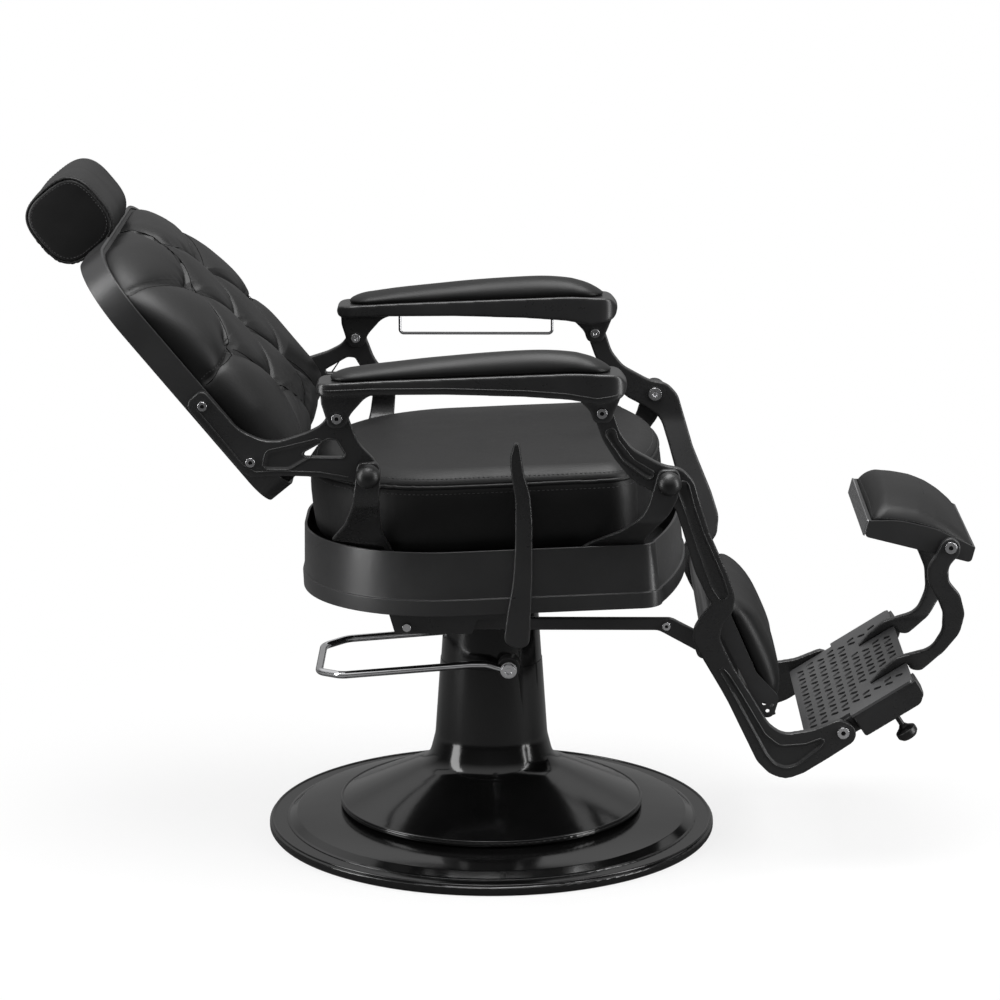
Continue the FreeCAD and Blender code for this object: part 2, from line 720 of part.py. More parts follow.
lever_outline = [
    (lever_x - 18, lever_z - 12, 12), (lever_x - 13, lever_z + 30, 60), (lever_x - 5, lever_z + 75, 200),
    (lever_x - 2, lever_z + 130, 200), (lever_x - 2, lever_z + 192, 120), (lever_x - 7, lever_z + 224, 80),
    (lever_x - 10, lever_z + 250, 40), (lever_x - 4, lever_z + 272, 10), (lever_x + 3, lever_z + 275, 5),
    (lever_x + 5, lever_z + 264, 30), (lever_x + 10, lever_z + 230, 100), (lever_x + 19, lever_z + 200, 80),
    (lever_x + 22, lever_z + 165, 200), (lever_x + 22, lever_z + 75, 300), (lever_x + 20, lever_z + 20, 100),
    (lever_x + 18, lever_z - 16, 14), (lever_x + 2, lever_z - 22, 30),
]
lever_blank = across("lever_blank", [edge_loop(lever_outline)], "sizes.lever_y + 8", "16")
lever_bore = pin("lever_bore", 8.0, lever_x, lever_z, -1, -lever_y - 30, -lever_y + 4)
node("recline_lever", cut("recline_lever", lever_blank, [lever_bore]))
node("lever_shaft", pin("lever_shaft", 8.0, lever_x, lever_z, -1, -slide_y - 8, -lever_y + 4))
bar_rear = -128.0
bar_front = 251.0
push_pivot = (308.0, 320.0)
bar_loop = edge_loop(
    [(bar_rear, slide_z - 9, 4), (bar_front - 10, slide_z - 9, 20),
        (push_pivot[0] - 9, push_pivot[1] - 11, 6),
     (push_pivot[0] + 9, push_pivot[1] - 9, 8), (push_pivot[0] + 10, push_pivot[1] + 8, 8),
     (bar_front + 8, slide_z + 9, 20), (bar_rear, slide_z + 9, 4)]
)
bar_blank = across("push_bar_blank", [bar_loop], "sizes.bar_slide_y + 5", "10")
push_hole = pin("push_hole", 6.0, push_pivot[0], push_pivot[1], -1, 100, 200)
node("push_bar", cut("push_bar", bar_blank, [push_hole]))
link_pin = pin("push_pin", 6.0, push_pivot[0], push_pivot[1], -1, -slide_y - 24, -slide_y + 24)
link_bolt = pin("push_bolt", 6.0, bar_front + 1, slide_z - 2, -1, -slide_y + 5, -slide_y + 10)
node("push_pins", gather("push_pins", [link_pin, link_bolt]))

# Back
back_frame = leaning(val("back_x"), val("back_z"), val("back_lean"))
back_high = val("back_high")
shell_depth = val("shell_depth")
shell_wall = val("shell_wall")


def back_plan(inset, top_radius=105.0, low_radius=46.0):
    """The back seen from the front, in its own frame."""
    half = bar_in - inset
    top = back_high - inset
    return edge_loop(
        [(-half, inset, max(low_radius - inset, 10)), (half, inset, max(low_radius - inset, 10)),
         (half, top, max(top_radius - 0.5 * inset, 20)), (-half, top, max(top_radius - 0.5 * inset, 20))]
    )


shell_blank = prism("shell_blank", "YZ_Plane", [back_plan(0.0)], "0", "sizes.shell_depth")
shell_room = prism(
    "shell_room", "YZ_Plane", [back_plan(shell_wall)], "sizes.shell_wall - 2", "sizes.shell_depth"
)
head_slot = prism(
    "head_slot", "XY_Plane",
    [edge_loop([(7.5, -21.5), (20.5, -21.5), (20.5, 21.5), (7.5, 21.5)])], "sizes.back_high - 40", "100"
)
shell_pan = cut("shell_pan", shell_blank, [shell_room, head_slot])
node(
    "back_board",
    prism("back_board", "YZ_Plane", [back_plan(shell_wall)], "sizes.shell_depth - sizes.board_thick - 2",
        "sizes.board_thick"),
    back_frame,
)
board_face = shell_depth - 2.0
cushion_blank = loft(
    "back_cushion_blank", "YZ_Plane",
    [(board_face, back_plan(shell_wall + 1)), (board_face + 12, back_plan(shell_wall + 1, 116.0)),
     (board_face + 26, back_plan(9.0, 150.0)), (board_face + 42, back_plan(22.0, 176.0)),
     (board_face + 54, back_plan(46.0, 190.0)), (board_face + 60, back_plan(84.0, 190.0)),
     (board_face + 62, back_plan(126.0, 170.0))],
)
TUFTS = [(0.0, 376.0), (-85.0, 288.0), (85.0, 288.0), (-180.0, 197.0), (0.0, 197.0), (180.0, 197.0),
         (-90.0, 106.0), (90.0, 106.0), (0.0, 30.0)]
tufts = []
for tuft_no, (y, z) in enumerate(TUFTS):
    ball = doc.addObject("Part::Sphere", f"tuft_{tuft_no}")
    ball.Radius = 40.0
    crown_here = board_face + 62 - 0.00026 * y * y - 0.00045 * max(abs(z - 205) - 60, 0) ** 2
    ball.Placement = upright_at(crown_here + 40.0 - 19.0, y, z)
    tufts.append(ball)
node("back_cushion", cut("back_cushion", cushion_blank, tufts), back_frame)
guide = prism(
    "head_guide_blank", "XY_Plane",
    [edge_loop([(shell_wall - 2, -30), (24, -30), (24, 30), (shell_wall - 2, 30)])],
    "sizes.back_high - 190", "150"
)
guide_slot = prism(
    "head_guide_slot", "XY_Plane",
    [edge_loop([(8 - run_gap, -20 - run_gap), (20 + run_gap, -20 - run_gap), (20 + run_gap, 20 + run_gap),
                (8 - run_gap, 20 + run_gap)])],
    "sizes.back_high - 200", "300",
)
node("back_shell", fuse("back_shell", [shell_pan, cut("head_guide", guide, [guide_slot])]), back_frame)
head_low = val("head_low")
bar_loop_2 = edge_loop([(8, -20, 3), (20, -20, 3), (20, 20, 3), (8, 20, 3)])
node("head_bar", prism("head_bar", "XY_Plane", [bar_loop_2], "sizes.back_high - 130",
    "sizes.head_low - sizes.back_high + 178"), back_frame)
head_half = val("head_half")


def head_outline(inset):
    """The head-rest's end face: a square with bulging sides."""
    middle = (12.0, head_low + 57.0)
    a = 51.0 - inset
    b = 54.0 - inset
    bulge = 5.0
    x, z = middle
    return edge_loop(
        [(x - a, z - b + 4, 26), (x, z - b - bulge + 2, 120), (x + a, z - b + 8, 22),
            (x + a + bulge - 2, z, 120),
         (x + a - 4, z + b, 30), (x, z + b + bulge, 120), (x - a + 2, z + b - 4, 30), (x - a - bulge, z, 120)]
    )


head_blank = loft(
    "head_blank", "XZ_Plane",
    [(-head_half, head_outline(6.0)), (-head_half + 5, head_outline(1.0)),
        (-head_half + 30, head_outline(0.0)),
     (head_half - 30, head_outline(0.0)), (head_half - 5, head_outline(1.0)), (head_half, head_outline(6.0))],
)
head_mortise = prism(
    "head_mortise", "XY_Plane", [bar_loop_2], "sizes.head_low - 20", "68"
)
node("head_cushion", cut("head_cushion", head_blank, [head_mortise]), back_frame)
bracket_outline = [
    (-394, 722, 10), (-414, 704, 10), (-414, 694, 10), (-343, 605, 20), (-326, 597, 14), (-294, 600, 40),
    (-233, 598, 60), (-184, 590, 20), (rear[0], rear[1] - 19, 18), (rear[0] + 19, rear[1], 18),
    (rear[0] + 6, rear[1] + 20, 20), (-180, 645, 60), (arm_rear[0] + 17, arm_rear[1] - 6, 14),
    (arm_rear[0] + 12, arm_rear[1] + 13, 12), (arm_rear[0] - 10, arm_rear[1] + 13, 12),
    (arm_rear[0] - 18, arm_rear[1] - 10, 30), (-252, 660, 80), (-302, 644, 90), (-345, 664, 60),
]
window = [(-264, 627, 3), (-197, 626, 4), (-211, 650, 4), (-222, 651, 6)]
panel_b = [(-312, 610, 6), (-276, 610, 8), (-226, 640, 8), (-232, 652, 8), (-275, 641, 20), (-306, 634, 8)]
screws = []
for word, side in SIDES:
    name = "back_bracket_" + word
    blank = slab(
        name + "_blank", [edge_loop(bracket_outline), edge_loop(window)], side,
        "sizes.bar_mid - sizes.bar_thick / 2", "sizes.bar_mid + sizes.bar_thick / 2",
    )
    tools = [
        pin(name + "_main", pivot_radius + bore_gap, rear[0], rear[1], side, bar_in - 5, bar_out + 5),
        pin(name + "_arm", arm_pin + bore_gap, arm_rear[0], arm_rear[1], side, bar_in - 5, bar_out + 5),
        slab(name + "_panel", [edge_loop(panel_b)], side, "sizes.bar_mid + sizes.bar_thick / 2 - 2",
            "sizes.bar_mid + 20"),
    ]
    node(name, cut(name, blank, tools))
    for i, (x, z) in enumerate(((-394.0, 698.0), (-329.0, 619.0))):
        head = pin(f"back_screw_head_{word}_{i}", 6.5, x, z, side, bar_out, bar_out + 3.5)
        socket = pin(f"back_screw_socket_{word}_{i}", 2.5, x, z, side, bar_out + 1.2, bar_out + 8)
        screws.append(cut(f"back_screw_{word}_{i}", head, [socket]))
node("back_screws", gather("back_screws", screws))

# Arms
fork_wall = val("fork_wall")
beam_outline = [
    (-236, 716, 8), (-238, 734, 10), (-150, 739, 400), (20, 746, 500), (120, 750, 300), (178, 747, 14),
    (190, 734, 10), (186, 714, 16), (150, 706, 30), (110, 713, 80), (50, 717, 300), (-60, 720, 400),
    (-160, 719, 60),
]
leg_rear = [
    (arm_rear[0] - 22, 718), (arm_rear[0] - 22, 704, 20), (arm_rear[0] - 16, arm_rear[1] + 2, 12),
    (arm_rear[0] - 12, arm_rear[1] - 15, 12), (arm_rear[0] + 12, arm_rear[1] - 15, 12),
    (arm_rear[0] + 18, arm_rear[1] + 4, 30), (arm_rear[0] + 40, 712, 30), (arm_rear[0] + 72, 722),
]
leg_front = [
    (arm_front[0] - 60, 718), (arm_front[0] - 34, 711, 30), (arm_front[0] - 16, arm_front[1] + 2, 20),
    (arm_front[0] - 12, arm_front[1] - 15, 12), (arm_front[0] + 12, arm_front[1] - 15, 12),
    (arm_front[0] + 17, arm_front[1], 12), (arm_front[0] + 24, 708, 20), (arm_front[0] + 28, 722),
]
arm_in = val("bar_mid") - val("arm_width") / 2
arm_out = val("bar_mid") + val("arm_width") / 2
cheek_in = "sizes.bar_mid - sizes.bar_thick / 2 - sizes.run_gap - sizes.fork_wall"
cheek_out = "sizes.bar_mid + sizes.bar_thick / 2 + sizes.run_gap + sizes.fork_wall"
slot_in = "sizes.bar_mid - sizes.bar_thick / 2 - sizes.run_gap"
slot_out = "sizes.bar_mid + sizes.bar_thick / 2 + sizes.run_gap"


def pad_plan(inset):
    """An arm pad seen from above, blunt at the rear and round in front."""
    half = val("arm_pad_width") / 2 - inset
    return edge_loop(
        [(-217 + inset, -half, 24), (166 - inset, -half, 26), (166 - inset, half, 26),
            (-217 + inset, half, 24)]
    )


for word, side in SIDES:
    name = "arm_frame_" + word
    beam = slab(
        name + "_beam", [edge_loop(beam_outline)], side,
        "sizes.bar_mid - sizes.arm_width / 2", "sizes.bar_mid + sizes.arm_width / 2",
    )
    top_view = prism(
        name + "_top_view", "XY_Plane",
        [edge_loop([(-240, side * arm_in, 26), (-240, side * arm_out, 26), (191, side * arm_out, 30),
            (191, side * arm_in, 30)])],
        "600", "300",
    )
    shaped = common(name + "_shaped", beam, top_view)
    legs = [
        slab(f"{name}_leg_{i}", [edge_loop(leg)], side, cheek_in, cheek_out)
        for i, leg in enumerate((leg_rear, leg_front))
    ]
    slots = []
    for i, at in enumerate((arm_rear, arm_front)):
        slots.append(
            slab(
                f"{name}_slot_{i}",
                [edge_loop([(at[0] - 40, at[1] - 40), (at[0] + 40, at[1] - 40), (at[0] + 40, at[1] + 20),
                    (at[0] - 40, at[1] + 20)])],
                side, slot_in, slot_out,
            )
        )
        slots.append(pin(f"{name}_bore_{i}", arm_pin, at[0], at[1], side, arm_in - 5, arm_out + 5))
    node(name, cut(name, fuse(name + "_solid", [shaped] + legs), slots))
    pad_name = "arm_pad_" + word
    pad_frame = FreeCAD.Placement(
        V(0, side * val("bar_mid"), 745.0), FreeCAD.Rotation(V(0, 1, 0), -1.6)
    )
    blank = loft(
        pad_name + "_blank", "XY_Plane",
        [(-8.0, pad_plan(3.0)), (4.0, pad_plan(0.0)), (11.0, pad_plan(1.0)), (18.0, pad_plan(6.0)),
            (24.0, pad_plan(14.0)),
         (26.0, pad_plan(21.0))],
    )
    blank.Placement = pad_frame
    under = slab(
        pad_name + "_under", [edge_loop(beam_outline)], side,
        "sizes.bar_mid - sizes.arm_width / 2 - 5", "sizes.bar_mid + sizes.arm_width / 2 + 5",
    )
    node(pad_name, cut(pad_name, blank, [under]))
    pins = []
    for i, at in enumerate((arm_rear, arm_front)):
        low = bar_in - run_gap - fork_wall
        high = bar_out + run_gap + fork_wall
        shank = pin(f"arm_shank_{word}_{i}", arm_pin, at[0], at[1], side, low - 4, high + 4)
        head = pin(f"arm_head_{word}_{i}", 7.0, at[0], at[1], side, high, high + 4)
        nut = pin(f"arm_nut_{word}_{i}", 7.0, at[0], at[1], side, low - 4, low)
        socket = pin(f"arm_socket_{word}_{i}", 2.6, at[0], at[1], side, high + 1.5, high + 9)
        socket_in = pin(f"arm_socket_in_{word}_{i}", 2.6, at[0], at[1], side, low - 9, low - 1.5)
        pins.append(cut(f"arm_bolt_{word}_{i}", fuse(f"arm_bolt_solid_{word}_{i}", [shank, head, nut]),
            [socket, socket_in]))
    node("arm_bolts_" + word, gather("arm_bolts_" + word, pins))
towel = doc.addObject("Part::Feature", "towel_rod")
towel_y = val("bar_mid")
towel.Shape = round_bar(
    [V(-142, towel_y, 719.5), V(-142, towel_y, 687.5), V(90, towel_y, 687.5), V(90, towel_y, 714.5)], 2.2, 6.0
)
arm_under = slab(
    "towel_arm_under", [edge_loop(beam_outline)], 1,
    "sizes.bar_mid - sizes.arm_width / 2", "sizes.bar_mid + sizes.arm_width / 2",
)
node("towel_wire", cut("towel_wire", towel, [arm_under]))

# Legs
leg_outline = [
    (arm_front[0] - 14, arm_front[1] + 2, 12), (arm_front[0] - 10, arm_front[1] + 13, 12),
    (arm_front[0] + 10, arm_front[1] + 13, 12),
    (arm_front[0] + 17, arm_front[1] - 4, 14), (181, 660, 40), (198, 638, 40), (240, 615, 60), (266, 611, 30),
    (283, 592, 30), (290, 568, 40), (306, 515, 60), (334, 449, 60), (345, 415, 30), (342, 388, 20),
    (329, 372, 24),
    (325, 346, 30), (347, 298, 60), (399, 211, 36), (420, 196, 30), (462, 203, 60), (500, 219, 14),
    (523, 208, 18),
    (524, 188, 18), (486, 162, 60), (450, 139, 40), (424, 129, 30), (400, 138, 30), (382, 157, 30),
    (340, 244, 60),
    (298, 321, 40), (287, 345, 30), (288, 364, 30), (298, 384, 30), (313, 404, 16), (306, 412, 20),
    (287, 454, 60),
    (268, 520, 60), (256, 558, 40), (232, 575, 40), (207, 588, 40), (194, 598, 40), (173, 624, 60),
    (156, 651, 60),
]
groove_low = [
    (338, 288, 8), (392, 196, 20), (414, 178, 20), (452, 181, 20), (478, 191, 10), (474, 180, 8),
    (440, 152, 20),
    (424, 147, 20), (408, 153, 18), (396, 168, 18), (322, 306, 8),
]
groove_high = [
    (272, 594, 10), (280, 562, 30), (296, 514, 40), (324, 448, 40), (334, 416, 18), (326, 408, 8),
    (312, 430, 40),
    (288, 500, 40), (270, 556, 20), (258, 588, 10),
]
groove_horn = [(170, 670, 6), (176, 650, 20), (198, 622, 20), (228, 604, 8), (222, 596, 8), (186, 622, 30),
    (160, 660, 8)]
leg_top = val("leg_bend_top")
leg_low = val("leg_bend_low")
low_in = val("leg_low_mid") - val("bar_thick") / 2
low_out = val("leg_low_mid") + val("bar_thick") / 2


def leg_strip(side, inner, outer):
    """The cranked strip of a leg bar seen from the front, between two offsets from its inner face."""
    a, b = bar_in + inner, bar_in + outer
    c, d = low_in + inner, low_in + outer
    return edge_loop(
        [(side * c, 60), (side * d, 60), (side * d, leg_low, 60), (side * b, leg_top, 60), (side * b, 760),
         (side * a, 760), (side * a, leg_top, 60), (side * c, leg_low, 60)]
    )


bar_thick = val("bar_thick")
for word, side in SIDES:
    name = "leg_bar_" + word
    flat = slab(name + "_side", [edge_loop(leg_outline)], side, "120", "340")
    strip = prism(name + "_strip", "YZ_Plane", [leg_strip(side, 0.0, bar_thick)], "100", "500")
    bent = common(name + "_bent", flat, strip)
    grooves = slab(
        name + "_grooves", [edge_loop(groove_low), edge_loop(groove_high), edge_loop(groove_horn)], side,
        "120", "340"
    )
    skin = prism(name + "_skin", "YZ_Plane", [leg_strip(side, bar_thick - 2.5, bar_thick + 12)], "100", "500")
    groove = common(name + "_groove", grooves, skin)
    holes = [
        pin(name + "_main", pivot_radius + bore_gap, front[0], front[1], side, bar_in - 5, bar_out + 5),
        pin(name + "_arm", arm_pin + val("loop_gap"), arm_front[0], arm_front[1], side, bar_in - 5,
            bar_out + 5),
        pin(name + "_foot", pivot_radius + bore_gap, val("foot_x"), val("foot_z"), side, low_in - 5,
            low_out + 5),
    ]
    node(name, cut(name, bent, [groove] + holes))


def between_bars(name, points):
    """A round or flat cross piece trimmed to the inner faces of both leg bars."""
    room = edge_loop(
        [(-low_in, 60), (low_in, 60), (low_in, leg_low, 60), (bar_in, leg_top, 60), (bar_in, 760),
            (-bar_in, 760),
         (-bar_in, leg_top, 60), (-low_in, leg_low, 60)]
    )
    inside = prism(name + "_room", "YZ_Plane", [room], "100", "500")
    return common(name + "_trim", points, inside)


cross_x, cross_z = 318.0, 372.0
tube = cylinder("leg_cross_bar", "12", "600", sideways(cross_x - 8, -300, cross_z - 18))
cross_tube = between_bars("leg_cross_upper", tube)
tube_2 = cylinder("leg_cross_bar_2", "11", "600", sideways(384, -300, 196))
node("leg_cross_lower", between_bars("leg_cross_lower", tube_2))
lug_outline = [
    (cross_x - 8 - 12, cross_z - 18), (push_pivot[0] - 15, push_pivot[1] - 4, 10),
    (push_pivot[0] - 10, push_pivot[1] - 18, 10),
    (push_pivot[0] + 12, push_pivot[1] - 18, 10), (push_pivot[0] + 15, push_pivot[1] - 2, 10),
    (cross_x - 8 + 12, cross_z - 18),
]
slot_loop = edge_loop(
    [(push_pivot[0] - 7.5, push_pivot[1] - 9, 7.4), (push_pivot[0] + 7.5, push_pivot[1] - 9, 7.4),
     (push_pivot[0] + 7.5, push_pivot[1] + 16, 7.4), (push_pivot[0] - 7.5, push_pivot[1] + 16, 7.4)]
)
lugs = []
for i, high in enumerate((slide_y + 5 + run_gap + 8, slide_y - 5 - run_gap)):
    blank = across(f"push_lug_blank_{i}", [edge_loop(lug_outline)], str(high), "8")
    slot = across(f"push_lug_slot_{i}", [slot_loop], str(high + 5), "18")
    lugs.append(cut(f"push_lug_{i}", blank, [slot]))
node("leg_cross_upper", fuse("leg_cross_upper", [cross_tube] + lugs))
calf_frame = leaning(val("calf_x"), val("calf_z"), val("calf_lean"))
calf_half = val("calf_half")
panel_plan = edge_loop(
    [(-calf_half, -222, 20), (calf_half, -222, 20), (calf_half, -16, 20), (-calf_half, -16, 20)]
)
panel = prism("calf_panel_blank", "YZ_Plane", [panel_plan], "24", "4")
gussets = []
for word, side in SIDES:
    gussets.append(
        slab(
            "calf_gusset_" + word,
            [edge_loop([(3.6, -30, 3), (3.6, -75, 4), (8, -160, 10), (4, -208, 14), (22, -222, 14),
                (44, -196, 14), (28, -150, 20), (28, -30, 4)])],
            side, "sizes.calf_half - 4", "sizes.calf_half",
        )
    )
tubes_out = [
    cylinder("calf_tube_clear", "12", "600", sideways(cross_x - 8, -300, cross_z - 18)),
    cylinder("calf_tube_clear_2", "11", "600", sideways(384, -300, 196)),
]
panel_whole = fuse("calf_panel_whole", [panel] + gussets)
panel_whole.Placement = calf_frame
gusset_holes = []
for i, (x, z) in enumerate(((20.0, -196.0), (29.0, -203.0), (20.0, -208.0))):
    hole = pin(f"gusset_hole_{i}", 3.0, x, z, 1, -300, 300)
    gusset_holes.append(hole)
holes_all = fuse("gusset_holes", gusset_holes)
holes_all.Placement = calf_frame
node("calf_panel", cut("calf_panel", panel_whole, tubes_out + [holes_all]))


def calf_plan(inset):
    return edge_loop(
        [(-calf_half + 6 + inset, -205 + inset, 26), (calf_half - 6 - inset, -205 + inset, 26),
         (calf_half - 6 - inset, -38 - inset, 30), (-calf_half + 6 + inset, -38 - inset, 30)]
    )


node(
    "calf_pad",
    loft(
        "calf_pad", "YZ_Plane",
        [(28.0, calf_plan(4.0)), (34.0, calf_plan(0.0)), (42.0, calf_plan(1.0)), (50.0, calf_plan(9.0)),
         (55.0, calf_plan(24.0)), (57.0, calf_plan(46.0))],
    ),
    calf_frame,
)
strip_loops = [edge_loop([(-140, -35, 6), (140, -35, 6), (140, -17, 6), (-140, -17, 6)])]
for i in range(-6, 7):
    strip_loops.append(
        edge_loop([(i * 20 - 7, -26), (i * 20, -31.5), (i * 20 + 7, -26), (i * 20, -20.5)])
    )
node("calf_trim", prism("calf_trim", "YZ_Plane", strip_loops, "28", "3"), calf_frame)

# Foot-rest
foot_frame = leaning(val("foot_x"), val("foot_z"), val("foot_tilt"))
tread_top = val("tread_top")
tread_low = tread_top - val("tread_thick")
box_end = val("box_end")
boxes = []
for word, side in SIDES:
    boxes.append(
        slab(
            "foot_box_" + word,
            [edge_loop([(24, -23, 3), (box_end - 12, -23, 10), (box_end, -12, 8), (box_end, tread_low),
                (24, tread_low)])],
            side, "150", "sizes.leg_low_mid + sizes.bar_thick / 2",
        )
    )
    boxes.append(
        slab(
            "foot_lug_" + word,
            [edge_loop([(-14, -14, 12), (14, -14, 10), (40, -14), (40, tread_low), (-14, tread_low, 4)])],
            side, "160", "sizes.leg_low_mid - sizes.bar_thick / 2 - sizes.run_gap",
        )
    )
boxes.append(
    across(
        "foot_cross",
        [edge_loop([(96, -14), (112, -14), (112, tread_low), (96, tread_low)])], "155", "310",
    )
)
foot_solid = fuse("foot_solid", boxes)
foot_bores = [pin(f"foot_bore_{word}", pivot_radius, 0, 0, side, 150, 230) for word, side in SIDES]
knob_x, knob_y = 76.0, -172.0
foot_bores.append(cylinder("knob_bore", "4 + sizes.bore_gap", "25", upright_at(knob_x, knob_y, -26)))
node("foot_frame", cut("foot_frame", foot_solid, foot_bores), foot_frame)
tread_rear = -52.0
tread_front = 124.0
tread_narrow = low_in - 4.0
tread_wide = low_out
tread_loops = [
    edge_loop(
        [(tread_rear, -tread_narrow, 6), (22, -tread_narrow, 2), (22, -tread_wide, 2),
            (tread_front, -tread_wide, 8),
         (tread_front, tread_wide, 8), (22, tread_wide, 2), (22, tread_narrow, 2),
         (tread_rear, tread_narrow, 6)]
    )
]
tongue_y = 100.0
for row_no in range(9):
    x = tread_rear + 16 + row_no * 18.0
    count = 8
    for k in range(-count, count + 1):
        y = (k + 0.5 * (row_no % 2)) * 20.0
        if abs(y) > 150:
            continue
        if x > 48 and abs(abs(y) - tongue_y) < 22:
            continue
        lean = 3.2 if (row_no + k) % 2 else -3.2
        tread_loops.append(
            edge_loop(
                [(x - 6.0, y - 4 + lean, 2.4), (x + 6.0, y - 6 - lean, 2.4), (x + 6.0, y + 4 - lean, 2.4),
                    (x - 6.0, y + 6 + lean, 2.4)]
            )
        )
node("foot_tread", prism("foot_tread", "XY_Plane", tread_loops, "sizes.tread_top - sizes.tread_thick",
    "sizes.tread_thick"), foot_frame)
foot_bolts = []
for word, side in SIDES:
    shank = pin("foot_shank_" + word, pivot_radius, 0, 0, side, 160, low_out + run_gap)
    head = pin("foot_head_" + word, 8.5, 0, 0, side, low_out + run_gap, low_out + run_gap + 4)
    socket = pin("foot_socket_" + word, 3.0, 0, 0, side, low_out + 2, low_out + 20)
    foot_bolts.append(cut("foot_bolt_" + word, fuse("foot_bolt_solid_" + word, [shank, head]), [socket]))
node("foot_bolts", gather("foot_bolts", foot_bolts), foot_frame)
knob_profile = [
    (0, -62), (11, -62, 2), (15.5, -57, 3), (15.5, -49, 3), (8, -44, 3), (4, -39), (4, -3), (0, -3),
]
knob = turned("clamp_knob", knob_profile)
knob_place = FreeCAD.Placement(V(knob_x, knob_y, 0), FreeCAD.Rotation())
node("clamp_knob", knob, foot_frame.multiply(knob_place))

# Curved arms that carry the foot pad
tilt = math.radians(val("foot_tilt"))


def foot_point(along, over, fillet=0.0):
    """A corner in the middle plane from its place along and over the tread."""
    x = val("foot_x") + along * math.cos(tilt) - over * math.sin(tilt)
    z = val("foot_z") + along * math.sin(tilt) + over * math.cos(tilt)
    return (x, z, fillet)


toe_outline = [
    foot_point(62, tread_top - 4), foot_point(62, tread_top + 1, 2), foot_point(90, tread_top + 10, 40),
    foot_point(116, tread_top + 14, 30),
    (636, 302, 30), (650, 332, 30), (649, 362, 24), (640, 384, 24),
    (626, 408, 30), (623, 432, 30), (636, 452, 20), (644, 470, 12), (656, 478, 14), (671, 468, 14),
    (670, 452, 12),
    (654, 434, 20), (655, 412, 20), (672, 392, 24), (681, 360, 30), (676, 328, 40), (655, 296, 40),
    (622, 266, 20),
    foot_point(124, tread_top - 12, 4),
]
toe_x = val("toe_x")
toe_z = val("toe_z")
toe_half = val("toe_half")
toe_in = toe_half + 3.0
toe_thick = 13.0
tread_plane = prism(
    "toe_tread_clear", "XY_Plane", [edge_loop([(-60, -200), (124, -200), (124, 200), (-60, 200)])], "-80",
    "sizes.tread_top + 80"
)
tread_plane.Placement = foot_frame
for word, side in SIDES:
    name = "toe_arm_" + word
    flat = slab(name + "_side", [edge_loop(toe_outline)], side, "60", "200")
    a = tongue_y - toe_thick / 2
    strip_points = [
        (side * a, 200), (side * (a + toe_thick), 200), (side * (a + toe_thick), 292, 30),
        (side * (toe_in + toe_thick), 392, 30), (side * (toe_in + toe_thick), 520), (side * toe_in, 520),
        (side * toe_in, 392, 30), (side * a, 292, 30),
    ]
    strip = prism(name + "_strip", "YZ_Plane", [edge_loop(strip_points)], "500", "250")
    bent = common(name + "_bent", flat, strip)
    tread_clear = doc.addObject("Part::Feature", name + "_tread_clear")
    doc.recompute()
    tread_clear.Shape = tread_plane.Shape
    hole = pin(name + "_hole", 6.0 + bore_gap, toe_x, toe_z, side, 100, 200)
    node(name, cut(name, bent, [tread_clear, hole]))
toe_frame = FreeCAD.Placement(V(toe_x, 0, toe_z), FreeCAD.Rotation(V(0, 1, 0), val("toe_tilt")))
tray_side = [
    (-121, -18, 6), (37, -18, 6), (37, 5), (14, 10, 60), (-27, 18, 120), (-78, 17, 120), (-121, 6),
]
tray_blank = across("tray_blank", [edge_loop(tray_side)], "sizes.toe_half", "2 * sizes.toe_half")
tray_room = across(
    "tray_room",
    [edge_loop([(-117, -14, 4), (33, -14, 4), (33, 60), (-117, 60)])], "sizes.toe_half - 3",
    "2 * sizes.toe_half - 6",
)
tray_bores = [pin("tray_bore_" + word, 6.0, 0, 0, side, toe_half - 20, toe_half + 20) for word, side in SIDES]
node("toe_tray", cut("toe_tray", tray_blank, [tray_room] + tray_bores), toe_frame)
node(
    "toe_end_plate",
    prism(
        "toe_end_plate", "YZ_Plane",
        [edge_loop([(-toe_half, -17, 2), (toe_half, -17, 2), (toe_half, 7, 2), (-toe_half, 7, 2)])],
        "-123.5", "2.5",
    ),
    toe_frame,
)


def toe_plan(inset, shift=0.0):
    return edge_loop(
        [(-116.5 + inset + shift, -toe_half + 4 + inset, 14),
            (32.5 - inset + shift, -toe_half + 4 + inset, 14),
         (32.5 - inset + shift, toe_half - 4 - inset, 14), (-116.5 + inset + shift, toe_half - 4 - inset, 14)]
    )


node(
    "toe_pad",
    loft(
        "toe_pad", "XY_Plane",
        [(-13.5, toe_plan(5.0)), (4.0, toe_plan(0.0)), (20.0, toe_plan(2.0, -2.0)),
            (36.0, toe_plan(12.0, -6.0)),
         (48.0, toe_plan(28.0, -12.0)), (54.0, toe_plan(46.0, -16.0))],
    ),
    toe_frame,
)
toe_bolts = []
for word, side in SIDES:
    shank = pin("toe_shank_" + word, 6.0, 0, 0, side, toe_half - 3, toe_in + toe_thick + run_gap)
    head = pin("toe_head_" + word, 8.5, 0, 0, side, toe_in + toe_thick + run_gap,
        toe_in + toe_thick + run_gap + 4)
    socket = pin("toe_socket_" + word, 3.0, 0, 0, side, toe_in + toe_thick + 2, toe_in + toe_thick + 20)
    toe_bolts.append(cut("toe_bolt_" + word, fuse("toe_bolt_solid_" + word, [shank, head]), [socket]))
node("toe_bolts", gather("toe_bolts", toe_bolts), toe_frame)

